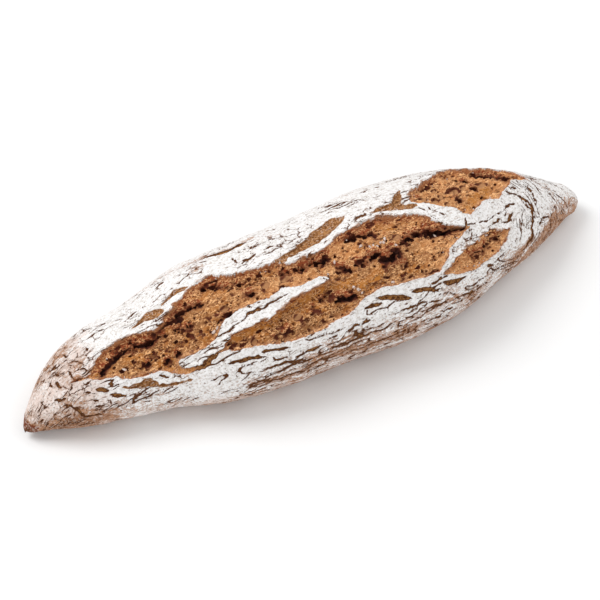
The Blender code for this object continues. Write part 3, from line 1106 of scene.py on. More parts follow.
@dataclass
class TornCrumb(LoafPart):
    """The crumb that one opening lays bare, carved out of a block of small cells.

    Its bubbles and caves have overhangs, so it is a surface drawn round a solid of cells
    and not a moved grid.
    """

    name: str
    form: LoafForm
    x_range: tuple[float, float]
    g_range: tuple[float, float]
    seed: int
    cell: float = 0.28
    bottom: float = -6.6
    top: float = 1.6
    cuts: tuple[float, ...] = ()
    simplify: float = 0.05
    pits_per_mm2: float = 0.44
    smallest_pit: float = 0.23
    largest_pit: float = 0.72
    overlap: int = 3
    seam_gap: float = 0.12
    recess: float = 0.9
    wall_drop: float = 3.8
    skirt: float = 1.3
    lowest: float = 2.0
    smoothing: int = 12
    # Filled in by lay_out: the places of the cells, and what is known of each column of them.
    x: np.ndarray = field(init=False)
    g: np.ndarray = field(init=False)
    n: np.ndarray = field(init=False)
    skin: np.ndarray = field(init=False)
    normals: np.ndarray = field(init=False)
    torn: np.ndarray = field(init=False)
    far: np.ndarray = field(init=False)
    level: np.ndarray = field(init=False)
    gold: np.ndarray = field(init=False)
    shadow: np.ndarray = field(init=False)
    smooth: np.ndarray = field(init=False)
    rim: np.ndarray = field(init=False)
    ring: np.ndarray = field(init=False)
    lip: np.ndarray = field(init=False)

    def lay_out(self) -> None:
        """Work out the places of the cells' columns and the level of the torn surface.

        The level lies a little below the skin, drops off at the far walls and is rough.  far is
        1 near those walls, and gold marks the bands that have baked to a golden crust.
        """
        self.x = np.arange(self.x_range[0], self.x_range[1], self.cell)
        self.g = np.arange(self.g_range[0], self.g_range[1], self.cell)
        self.n = np.arange(self.bottom, self.top, self.cell)
        g = np.broadcast_to(self.g, (len(self.x), len(self.g)))
        x = np.broadcast_to(self.x[:, None], g.shape)
        self.skin, self.normals = self.form.unroll(self.x, g)
        self.torn = tear_distance(x, g, Depth.CRUMB)
        slope = np.gradient(self.torn, axis=1) / self.cell
        for _ in range(self.smoothing):
            inner = slope[:-2, 1:-1] + slope[2:, 1:-1] + slope[1:-1, :-2] + slope[1:-1, 2:]
            slope[1:-1, 1:-1] = inner / 4.0
        self.far = np.clip(slope, 0.0, 1.0)
        inside = np.minimum(self.torn, 0.0)
        level = 0.15 + self.recess * (1.0 - np.exp(inside / 2.5))
        level += self.wall_drop * self.far * (np.exp(inside / 6.0) - np.exp(inside / 1.6))
        rough = 1.15 * layered_noise(self.skin, (8.0, 3.4, 3.4), seed=self.seed)
        rough += 0.75 * layered_noise(self.skin, (2.8, 1.6, 1.6), seed=self.seed + 5)
        level += 1.4 * ramp(self.torn, -0.1, 0.9)
        self.level = -level + rough * ramp(self.torn, 0.3, -1.8)
        self.gold = np.max([band.strength(x, g) for band in GOLDEN_BANDS], axis=0)
        self.shadow, self.smooth, self.rim, self.ring, self.lip = np.zeros((5,) + g.shape)

    def spots(self, where: tuple[np.ndarray, ...]) -> np.ndarray:
        """Return the places of some cells."""
        offset = self.normals[where[0], where[1]] * self.n[where[2], None]
        return self.skin[where[0], where[1]] + offset

    def carve(self) -> np.ndarray:
        """Shape the whole block of cells.

        Returns:
            How far each cell lies in the air, negative in the crumb.
        """
        hollows = self.place_hollows()
        self.raise_lips(hollows)
        self.mark_bubbles()
        air = self.n[None, None, :] - self.level[..., None]
        self.gnaw(air)
        self.dig_caves(air, hollows)
        self.open_pits(air)
        self.open_bubbles(air)
        where = np.nonzero((np.abs(air) < 1.0) & (self.torn < 1.2)[..., None])
        spots = self.spots(where)
        grains = 0.50 * layered_noise(spots, (1.5, 1.0, 1.0), seed=self.seed + 11, layers=2)
        grains += 0.30 * value_noise(spots, 0.62, seed=self.seed + 13)
        even = np.maximum(0.7 * self.smooth, 0.6 * self.gold)
        air[where] += grains * (1.0 - even[where[0], where[1]])
        air = np.maximum(air, self.torn[..., None] - self.skirt)
        return np.maximum(air, self.bottom + 0.8 - self.n[None, None, :])

    def gnaw(self, air: np.ndarray) -> None:
        """Eat ragged shallow holes into the torn surface, in loose groups.

        Args:
            air: the cells, changed in place.
        """
        where = np.nonzero((air > -1.8) & (air < 0.9) & (self.torn < 0.4)[..., None])
        spots = self.spots(where)
        holes = layered_noise(spots, (1.9, 1.15, 1.15), seed=self.seed + 31, layers=2)
        groups = layered_noise(spots, (7.0, 3.5, 3.5), seed=self.seed + 21, layers=2)
        depth = 1.9 * ramp(holes + 0.85 * groups, 0.40, 0.80)
        depth *= 1.0 - self.gold[where[0], where[1]]
        air[where] += depth * ramp(air[where], -1.8, -0.3)

    def hollow(self, air: np.ndarray, x: float, g: float, n: float, radius: float,
               stretch: float) -> None:
        """Take a rounded hollow out of the cells.

        Args:
            air: the cells, changed in place.
            x: the hollow's place along the loaf.
            g: its place round the girth.
            n: its height over the skin.
            radius: its radius across the loaf.
            stretch: how many times longer it is along the loaf.
        """
        n = max(n, self.bottom + self.skirt + radius)
        reach = radius + 2.0 * self.cell
        spans = []
        sides = ((self.x, x, reach * stretch), (self.g, g, reach), (self.n, n, reach))
        for axis, centre, size in sides:
            low = max(int((centre - size - axis[0]) / self.cell), 0)
            high = min(int((centre + size - axis[0]) / self.cell) + 2, len(axis))
            if low >= high:
                return
            spans.append(slice(low, high))
        off_x = (self.x[spans[0]] - x)[:, None, None] / stretch
        off_g = (self.g[spans[1]] - g)[None, :, None]
        off_n = (self.n[spans[2]] - n)[None, None, :]
        ball = radius - np.sqrt(off_x**2 + off_g**2 + off_n**2)
        block = air[spans[0], spans[1], spans[2]]
        np.maximum(block, ball, out=block)

    def column(self, x: float, g: float) -> tuple[int, int] | None:
        """Find the column of cells at a place.

        Args:
            x: the place along the loaf.
            g: the place round the girth.

        Returns:
            The column's two numbers, or nothing outside the opening.
        """
        i = int(round((x - self.x[0]) / self.cell))
        j = int(round((g - self.g[0]) / self.cell))
        if not (0 <= i < len(self.x) and 0 <= j < len(self.g)) or self.torn[i, j] > 0.6:
            return None
        return i, j

    def open_pits(self, air: np.ndarray) -> None:
        """Open small pits of many sizes along the torn surface, in loose groups.

        Args:
            air: the cells, changed in place.
        """
        dice = np.random.default_rng(self.seed)
        inside = np.argwhere(self.torn < -0.3)
        count = int(len(inside) * self.cell**2 * self.pits_per_mm2)
        grouping = layered_noise(self.skin, (6.0, 4.0, 4.0), seed=self.seed + 21)
        for spot in inside[dice.integers(0, len(inside), count)]:
            group = grouping[tuple(spot)]
            radius = self.smallest_pit * (1.0 - dice.random()) ** -0.5 * (1.0 + 0.8 * group)
            radius = min(radius, self.largest_pit, 0.35 - self.torn[tuple(spot)])
            if radius < 0.2 or self.gold[tuple(spot)] > 0.6:
                continue
            height = self.level[tuple(spot)] - dice.uniform(-0.3, 0.9) * radius
            stretch = dice.uniform(1.0, 1.6)
            self.hollow(air, self.x[spot[0]], self.g[spot[1]], height, radius, stretch)

    def mark_bubbles(self) -> None:
        """Mark each bubble's smooth bowl, painted shade on its rim and far wall, and thin raised ring.
        """
        grid_x, grid_g = self.x[:, None], self.g[None, :]
        for bubble in BUBBLES:
            off_x = (grid_x - bubble.x) / bubble.stretch
            near = np.hypot(off_x, grid_g - bubble.g) / bubble.radius
            bowl = ramp(near, 1.05, 0.85)
            # The rim is painted shade: the bowl's far wall, turned from the key light, and a thin dark
            # line at its edge.
            shaded = (0.85 * (grid_g - bubble.g) - 0.5 * off_x) / bubble.radius
            self.smooth = np.maximum(self.smooth, bowl)
            outline = 0.75 * np.exp(-(((near - 0.95) / 0.1) ** 2))
            self.rim = np.maximum(self.rim, np.maximum(bowl * ramp(shaded, 0.05, 0.6), outline))
            self.ring = np.maximum(self.ring, np.exp(-(((near - 1.1) / 0.16) ** 2)))
        self.level += 0.22 * self.ring * ramp(self.torn, 0.0, -1.0)

    def open_bubbles(self, air: np.ndarray) -> None:
        """Open the large smooth bubbles.

        Args:
            air: the cells, changed in place.
        """
        for bubble in BUBBLES:
            column = self.column(bubble.x, bubble.g)
            if column is not None:
                height = self.level[column] + 0.3 * bubble.radius
                self.hollow(air, bubble.x, bubble.g, height, 1.05 * bubble.radius, bubble.stretch)

    def place_hollows(self) -> list[tuple[float, ...]]:
        """Set round hollows along the caves' paths.

        Returns:
            The x, g, radius, depth and raggedness of each hollow that meets the opening.
        """
        dice = np.random.default_rng(self.seed + 1)
        hollows = []
        for cave in CAVES:
            for (x0, g0), (x1, g1) in zip(cave.path, cave.path[1:]):
                steps = max(int(math.dist((x0, g0), (x1, g1)) / (0.5 * cave.radius)), 1)
                for step in range(steps + 1):
                    radius = cave.radius * dice.uniform(0.45, 1.1)
                    x = x0 + (x1 - x0) * step / steps + dice.uniform(-0.3, 0.3) * cave.radius
                    g = g0 + (g1 - g0) * step / steps + dice.uniform(-0.5, 0.5) * cave.radius
                    depth = dice.uniform(0.3, 2.1)
                    if self.column(x, g) is not None:
                        hollows.append((x, g, radius, depth, cave.ragged))
        return hollows

    def raise_lips(self, hollows: list[tuple[float, ...]]) -> None:
        """Raise the crumb along the far side of the caves.

        Args:
            hollows: the caves' hollows.
        """
        for x, g, radius, _, _ in hollows:
            off_x = (self.x[:, None] - x) / (1.1 * radius + 0.6)
            off_g = (self.g[None, :] - g - 1.7 * radius - 0.5) / (1.1 * radius + 0.6)
            lip = np.exp(-(off_x**2) - off_g**2) * min(1.0, 0.35 + 0.6 * radius)
            self.lip = np.maximum(self.lip, lip)
        self.level += 0.8 * self.lip * ramp(self.torn, 0.0, -1.0)

    def dig_caves(self, air: np.ndarray, hollows: list[tuple[float, ...]]) -> None:
        """Dig the caves, each slanting down under the crumb on its far side.

        Args:
            air: the cells, changed in place.
            hollows: the caves' hollows.
        """
        untouched = -9.0
        grid_x, grid_g = self.x[:, None], self.g[None, :]
        for amount in sorted({hollow[-1] for hollow in hollows}):
            cave = np.full(air.shape, untouched)
            for x, g, radius, depth, ragged in hollows:
                if ragged != amount:
                    continue
                level = self.level[self.column(x, g)]
                for drop, shift in ((0.05, 0.0), (0.5, 0.2), (1.0, 0.4)):
                    n = level - drop * depth * radius
                    self.hollow(cave, x, g + shift * depth * radius, n, radius, 1.3)
                spread = ((grid_x - x) ** 2 + (grid_g - g) ** 2) / (1.7 * radius) ** 2
                shadow = np.exp(-spread) * min(1.0, 0.45 + 0.45 * depth) * min(1.0, 1.2 * radius)
                self.shadow = np.maximum(self.shadow, shadow)
            where = np.nonzero(cave > -0.8)
            spots = self.spots(where)
            noise = 0.70 * layered_noise(spots, (1.9, 1.2, 1.2), seed=self.seed + 41, layers=2)
            noise += 0.75 * value_noise(spots, (3.6, 2.4, 2.4), seed=self.seed + 44)
            air[where] = np.maximum(air[where], cave[where] - 0.12 + amount * noise)

    def build(self, finish: bpy.types.Material) -> list[bpy.types.Object]:
        """Carve the cells, then draw the surface round each part of them and dress it.

        Args:
            finish: the crumb's material.

        Returns:
            The pieces, from left to right.
        """
        self.lay_out()
        air = self.carve()
        seams = [0] + [int((cut - self.x[0]) / self.cell) for cut in self.cuts] + [len(self.x)]
        pieces = []
        for number, (first, last) in enumerate(zip(seams, seams[1:])):
            name = self.name if len(seams) == 2 else f"{self.name}_{number + 1}"
            start = max(first - self.overlap, 0)
            rows = np.arange(start, min(last + self.overlap, len(self.x)))
            beyond = np.maximum(np.maximum(first - rows, rows - last), 0)[:, None, None]
            part = air[rows] + self.seam_gap * np.minimum(beyond, 1)
            part = np.maximum(part, (beyond - self.overlap + 1.5) * self.cell)
            pieces.append(self.build_part(name, part, start, finish))
        return pieces

    def build_part(self, name: str, air: np.ndarray, first: int,
                   finish: bpy.types.Material) -> bpy.types.Object:
        """Draw the surface round a part of the cells and dress it.

        Args:
            name: the piece's name.
            air: the part's cells.
            first: the part's first column along the loaf.
            finish: the crumb's material.

        Returns:
            The piece.
        """
        limit = 3.0 * self.cell
        grid = openvdb.FloatGrid(limit)
        grid.copyFromArray(np.clip(air, -limit, limit).astype(np.float32), tolerance=0.0)
        spots, triangles, quads = grid.convertToPolygons(isovalue=0.0, adaptivity=self.simplify)
        i = np.clip(spots[:, 0].astype(np.float64) + first, 0, len(self.x) - 1.001)
        j = np.clip(spots[:, 1].astype(np.float64), 0, len(self.g) - 1.001)
        n = self.bottom + spots[:, 2].astype(np.float64) * self.cell
        faces = triangles.tolist() + quads.tolist()
        points = self.read(self.skin, i, j) + self.read(self.normals, i, j) * n[:, None]
        points[:, 2] = np.maximum(points[:, 2], self.lowest)
        mesh = bpy.data.meshes.new(name)
        mesh.from_pydata((points * MM).tolist(), [], faces)
        add_field(mesh, "hollow", np.clip(self.read(self.level, i, j) - n, -1.0, 4.0))
        # The shadow and rim fields carry painted shade, the ring field a painted highlight.
        for layer in ("shadow", "torn", "far", "smooth", "rim", "lip", "ring", "gold"):
            add_field(mesh, layer, self.read(getattr(self, layer), i, j))
        x = self.x[0] + i * self.cell
        g = self.g[0] + j * self.cell
        middle = 0.8 * ramp(x, -52.0, -20.0) * ramp(g, -17.0, -12.0)
        right = 0.95 * ramp(x, 28.0, 40.0) + 0.15 * ramp(x, 58.0, 62.0)
        add_field(mesh, "pale", np.maximum(middle, right))
        piece = bpy.data.objects.new(name, mesh)
        bpy.context.scene.collection.objects.link(piece)
        deselect()
        piece.select_set(True)
        bpy.context.view_layer.objects.active = piece
        bpy.ops.object.mode_set(mode="EDIT")
        bpy.ops.mesh.select_all(action="SELECT")
        bpy.ops.mesh.normals_make_consistent(inside=False)
        bpy.ops.object.mode_set(mode="OBJECT")
        bpy.ops.object.shade_smooth()
        self.dress(piece, "crumb", finish)
        return piece

    def read(self, table: np.ndarray, i: np.ndarray, j: np.ndarray) -> np.ndarray:
        """Read a table between its columns, by bilinear interpolation.

        Args:
            table: one number or vector for each column of cells.
            i: places along the loaf, counted in cells.
            j: places round the girth, counted in cells.

        Returns:
            One number or vector for each place.
        """
        low_i, low_j = np.floor(i).astype(int), np.floor(j).astype(int)
        part_i, part_j = i - low_i, j - low_j
        if table.ndim == 3:
            part_i, part_j = part_i[:, None], part_j[:, None]
        near = table[low_i, low_j] * (1 - part_j) + table[low_i, low_j + 1] * part_j
        far = table[low_i + 1, low_j] * (1 - part_j) + table[low_i + 1, low_j + 1] * part_j
        return near * (1 - part_i) + far * part_i


@dataclass(frozen=True)
class Flecks(LoafPart):
    """Chips of floured crust that have dropped into the openings."""

    places: Outline = (
        (18, -9), (19, -10), (21, -9), (22, -9.6), (23, -8.5), (16.5, -9), (25.5, -12.5),
        (2, -9), (14, -6.5), (-2.5, -12.3), (64, -20.7), (59.5, -21.6), (42.5, -14.5),
        (4, -21), (5, -22.4), (6, -24), (18, -25), (-82.5, -13), (-50, -16.5), (-48.5, -15.5),
    )
    chip_size: float = 0.65
    crumb_size: float = 0.36
    scattered: int = 10
    sunk: float = 0.15
    seed: int = 404

    def build(self, crumbs: list[TornCrumb], finish: bpy.types.Material) -> bpy.types.Object:
        """Drop the chips at their places and smaller ones along the openings' edges.

        Args:
            crumbs: the torn crumb that the chips lie on.
            finish: the crust's material.

        Returns:
            The piece.
        """
        dice = np.random.default_rng(self.seed)
        deselect()
        chips = []
        for crumb in crumbs:
            for x, g in self.places:
                if crumb.column(x, g) is not None:
                    chips.append(self.drop(crumb, crumb.column(x, g), self.chip_size, dice))
            edge = np.argwhere((crumb.torn < -0.3) & (crumb.torn > -2.4))
            for spot in edge[dice.integers(0, len(edge), self.scattered)]:
                chips.append(self.drop(crumb, tuple(spot), self.crumb_size, dice))
        for chip in chips:
            chip.select_set(True)
        bpy.context.view_layer.objects.active = chips[0]
        bpy.ops.object.join()
        bpy.ops.object.transform_apply(location=True, rotation=True, scale=True)
        piece = bpy.context.object
        piece.name = piece.data.name = "flour_chips"
        bpy.ops.object.shade_smooth()
        levels = {
            "torn": 3.0,
            "shallow": 3.0,
            "crack": -1.5,
            "flour": 0.5,
            "bake": 0.0,
            "blush": 1.0,
        }
        for layer, level in levels.items():
            add_field(piece.data, layer, np.full(len(piece.data.vertices), level))
        self.dress(piece, "crust", finish)
        return piece

    def drop(self, crumb: TornCrumb, column: tuple[int, int], size: float,
             dice: np.random.Generator) -> bpy.types.Object:
        """Lay one chip, nearly half sunk, on the crumb.

        Args:
            crumb: the torn crumb.
            column: the column of its cells where the chip lies.
            size: the chip's radius in mm.
            dice: draws its turn and its shape.

        Returns:
            The chip.
        """
        normal = Vector(crumb.normals[column])
        height = crumb.level[column] + self.sunk * size
        place = Vector(crumb.skin[column]) + normal * height
        bpy.ops.mesh.primitive_ico_sphere_add(subdivisions=2, radius=size * MM, location=place * MM)
        chip = bpy.context.object
        spin = Quaternion((0.0, 0.0, 1.0), dice.uniform(0.0, math.tau))
        chip.rotation_euler = (normal.to_track_quat("Z", "Y") @ spin).to_euler()
        chip.scale = (dice.uniform(0.8, 1.5), dice.uniform(0.5, 1.0), dice.uniform(0.35, 0.6))
        for vertex in chip.data.vertices:
            vertex.co *= dice.uniform(0.75, 1.2)
        return chip


# --------------------------------------------------------------------------------------
# Materials
# --------------------------------------------------------------------------------------


class Reading:
    """A number that varies over a surface and can be used in plain arithmetic."""

    def __init__(self, tree: bpy.types.NodeTree, socket: bpy.types.NodeSocket) -> None:
        """Wrap a socket of a node tree."""
        self.tree = tree
        self.socket = socket

    def combine(self, operation: str, first: "Reading | float", second: "Reading | float") -> "Reading":
        """Add a Math node that works on two values.

        Args:
            operation: the node's operation.
            first: its first value.
            second: its second value.

        Returns:
            The node's result.
        """
        node = self.tree.nodes.new("ShaderNodeMath")
        node.operation = operation
        for socket, value in zip(node.inputs, (first, second)):
            if isinstance(value, Reading):
                self.tree.links.new(value.socket, socket)
            else:
                socket.default_value = value
        return Reading(self.tree, node.outputs[0])

    def __add__(self, other: "Reading | float") -> "Reading":
        """Return the sum."""
        return self.combine("ADD", self, other)

    def __radd__(self, other: float) -> "Reading":
        """Return the sum with a plain number first."""
        return self.combine("ADD", other, self)

    def __sub__(self, other: "Reading | float") -> "Reading":
        """Return the difference."""
        return self.combine("SUBTRACT", self, other)

    def __rsub__(self, other: float) -> "Reading":
        """Return the difference from a plain number."""
        return self.combine("SUBTRACT", other, self)

    def __mul__(self, other: "Reading | float") -> "Reading":
        """Return the product."""
        return self.combine("MULTIPLY", self, other)

    def __rmul__(self, other: float) -> "Reading":
        """Return the product with a plain number first."""
        return self.combine("MULTIPLY", other, self)


def daylight(red: int, green: int, blue: int) -> Triple:
    """Turn a screen colour into the linear one that a shader takes.

    Args:
        red: the red part, up to 255.
        green: the green part.
        blue: the blue part.

    Returns:
        The linear colour, each part from 0 to 1.
    """
    shares = (red / 255.0, green / 255.0, blue / 255.0)
    return tuple(c / 12.92 if c <= 0.04045 else ((c + 0.055) / 1.055) ** 2.4 for c in shares)


class Recipe:
    """One material under construction.

    bump is how strongly its heights tilt the surface, and gloss how much it mirrors.
    """

    bump: float = 0.85
    gloss: float = 0.25

    def __init__(self, name: str) -> None:
        """Start a material with a bare surface.

        Args:
            name: the material's name.
        """
        self.material = bpy.data.materials.new(name)
        self.material.use_nodes = True
        self.tree = self.material.node_tree
        self.surface = self.tree.nodes["Principled BSDF"]
        self.place = self.add("ShaderNodeTexCoord", {}, {}, "Object")

    def add(self, kind: str, settings: dict, inputs: dict,
            output: str | int = 0) -> bpy.types.NodeSocket:
        """Add a node.

        Args:
            kind: the node's type.
            settings: properties that are set first.
            inputs: values or links of its sockets, by name or number.
            output: the output that is wanted.

        Returns:
            The output socket.
        """
        node = self.tree.nodes.new(kind)
        for name, value in settings.items():
            setattr(node, name, value)
        for key, value in inputs.items():
            value = value.socket if isinstance(value, Reading) else value
            if isinstance(value, bpy.types.NodeSocket):
                self.tree.links.new(value, node.inputs[key])
            else:
                node.inputs[key].default_value = value
        return node.outputs[output]

    def noise(self, size: Triple | float, detail: float = 3.0, roughness: float = 0.55,
              shift: float = 0.0) -> Reading:
        """Add noise from about 0 to 1.

        Args:
            size: how far its features reach in mm, one length or one for each axis.
            detail: how many finer layers it has.
            roughness: how strong they are.
            shift: moves the pattern, so that no two are alike.

        Returns:
            The noise.
        """
        sizes = size if isinstance(size, tuple) else (size, size, size)
        scale = tuple(1.0 / (MM * length) for length in sizes)
        layout = {"Vector": self.place, "Scale": scale, "Location": (shift, shift * 0.7, -shift)}
        place = self.add("ShaderNodeMapping", {}, layout)
        inputs = {"Vector": place, "Scale": 1.0, "Detail": detail, "Roughness": roughness}
        return Reading(self.tree, self.add("ShaderNodeTexNoise", {}, inputs, "Fac"))

    def field(self, name: str) -> Reading:
        """Return one of the piece's own stored numbers."""
        settings = {"attribute_name": name}
        return Reading(self.tree, self.add("ShaderNodeAttribute", settings, {}, "Fac"))

    def step(self, value: Reading, low: float, high: float) -> Reading:
        """Add a smooth rise from 0 to 1.

        Args:
            value: the number that is looked up.
            low: where the rise starts.
            high: where it ends.

        Returns:
            The share from 0 to 1.
        """
        inputs = {"Value": value, "From Min": low, "From Max": high}
        settings = {"interpolation_type": "SMOOTHSTEP"}
        return Reading(self.tree, self.add("ShaderNodeMapRange", settings, inputs))

    def blend(self, share: Reading, first: Triple | bpy.types.NodeSocket,
              second: Triple | bpy.types.NodeSocket) -> bpy.types.NodeSocket:
        """Mix two colours.

        Args:
            share: 0 for the first colour, 1 for the second.
            first: the first colour.
            second: the second colour.

        Returns:
            The mixed colour.
        """
        opaque = [c + (1.0,) if isinstance(c, tuple) else c for c in (first, second)]
        inputs = {0: share, 6: opaque[0], 7: opaque[1]}
        return self.add("ShaderNodeMix", {"data_type": "RGBA"}, inputs, 2)

    def raise_by(self, height: Reading, distance: float) -> bpy.types.NodeSocket:
        """Tilt the surface by a height.

        Args:
            height: the height, from 0 to 1.
            distance: how many mm a height of 1 is.

        Returns:
            The tilted normal.
        """
        inputs = {"Height": height, "Distance": distance * MM, "Strength": self.bump}
        return self.add("ShaderNodeBump", {}, inputs)

    def finish(self, colour: bpy.types.NodeSocket, normal: bpy.types.NodeSocket,
               roughness: float) -> bpy.types.Material:
        """Connect the surface.

        Args:
            colour: its colour.
            normal: its normal.
            roughness: its roughness.

        Returns:
            The finished material.
        """
        self.tree.links.new(colour, self.surface.inputs["Base Color"])
        self.tree.links.new(normal, self.surface.inputs["Normal"])
        self.surface.inputs["Roughness"].default_value = roughness
        self.surface.inputs["Specular IOR Level"].default_value = self.gloss
        return self.material


@dataclass(frozen=True)
class FlouredCrustFinish:
    """Baked brown crust under a coat of flour that cracks and wears thin."""

    flour: Triple = daylight(244, 242, 241)
    flour_in_shade: Triple = daylight(218, 213, 208)
    thin_flour: Triple = daylight(212, 192, 181)
    baked: Triple = daylight(178, 134, 104)
    deep_baked: Triple = daylight(142, 96, 66)
    blushed: Triple = daylight(220, 196, 184)
    burnt: Triple = daylight(112, 48, 18)
    hairline: Triple = daylight(126, 88, 62)
    crack: Triple = daylight(164, 114, 64)
    crack_dark: Triple = daylight(92, 54, 28)
    torn_rim: Triple = daylight(182, 122, 80)
    torn_wall: Triple = daylight(140, 82, 48)
    bared: Triple = daylight(180, 130, 84)
    bared_dark: Triple = daylight(124, 80, 42)
    relief: float = 0.34
    roughness: float = 0.92

    def make(self) -> bpy.types.Material:
        """Mix the finish.

        Returns:
            The material.
        """
        mix = Recipe("floured_crust")
        grain = mix.noise(0.72, 2.0, 0.6)
        speck = mix.noise((1.6, 1.0, 1.0), 3.0, 0.6, 3.0)
        blotch = mix.noise((9.0, 4.0, 4.0), 3.0, 0.5, 11.0)
        tick = mix.noise((2.6, 0.55, 0.55), 1.0, 0.4, 17.0)
        flour = mix.field("flour")
        streak = mix.noise((3.2, 0.5, 0.5), 2.0, 0.6, 23.0)
        # Baked crust, and the flour over it: a thin film, then a full coat.
        cover = flour + (speck - 0.5) * 0.9 + (grain - 0.5) * 1.5 + (streak - 0.5) * 1.1
        film = mix.step(flour + (blotch - 0.5) * 0.8 + (speck - 0.5) * 0.8, 0.15, 0.55)
        coat = mix.step(cover, 0.44, 0.60)
        blotched = mix.step(blotch + (grain - 0.5) * 1.2, 0.35, 0.7)
        baked = mix.blend(blotched, self.baked, self.deep_baked)
        charred = mix.step(mix.field("bake") + (speck - 0.5) * 0.9, 0.35, 0.85)
        baked = mix.blend(charred, baked, self.burnt)
        white = mix.blend(mix.step(speck + (grain - 0.5), 0.3, 0.6), self.flour_in_shade, self.flour)
        blush = mix.step(mix.field("blush") + (blotch - 0.5) * 1.2 + (speck - 0.5) * 1.8, 0.25, 1.0)
        white = mix.blend(blush * 0.8, white, self.blushed)
        colour = mix.blend(film * 0.9, baked, self.thin_flour)
        colour = mix.blend(coat, colour, white)
        # Pocks and hairlines in the flour, then the cracks through it.
        pocks = mix.step(mix.noise(0.9, 1.0, 0.5, 31.0) + (1.0 - flour) * 0.12, 0.64, 0.72)
        colour = mix.blend(pocks * 0.5, colour, self.thin_flour)
        ticks = mix.step(tick + (1.0 - flour) * 0.1, 0.67, 0.73)
        colour = mix.blend(ticks * 0.7, colour, self.hairline)
        inset = mix.field("crack") + (grain - 0.5) * 0.38
        split = mix.step(inset, -0.06, 0.08)
        golden = mix.step(speck + (grain - 0.5) * 1.2, 0.38, 0.58)
        gold = mix.blend(golden, self.crack_dark, self.crack)
        floor = mix.blend(mix.step(inset, -0.02, 0.10), self.hairline, self.crack_dark)
        floor = mix.blend(mix.step(inset, 0.20, 0.42), floor, gold)
        colour = mix.blend(split, colour, floor)
        # The bared crust of the shallow openings, and the torn rim of the deep ones.
        bare = mix.step(mix.field("shallow") * -1.0 + (grain - 0.5) * 0.3, -0.08, 0.10)
        lighter = mix.step(speck + (grain - 0.5) * 1.4, 0.35, 0.62)
        bared = mix.blend(lighter, self.bared_dark, self.bared)
        bared = mix.blend(mix.step(grain + (tick - 0.5), 0.62, 0.70) * 0.7, bared, self.thin_flour)
        colour = mix.blend(bare, colour, bared)
        torn = mix.field("torn") * -1.0 + (grain - 0.5) * 0.35
        rim = mix.blend(mix.step(torn + (speck - 0.5), 0.0, 0.5), self.torn_rim, self.torn_wall)
        colour = mix.blend(mix.step(torn, -0.14, 0.05), colour, rim)
        coat_height = coat * 0.35 + grain * 0.35 + speck * 0.45
        powder = mix.noise(0.25, 1.0, 0.5, 5.0)
        height = coat_height - split * 0.5 - ticks * 0.35 + powder * 0.15
        return mix.finish(colour, mix.raise_by(height, self.relief), self.roughness)


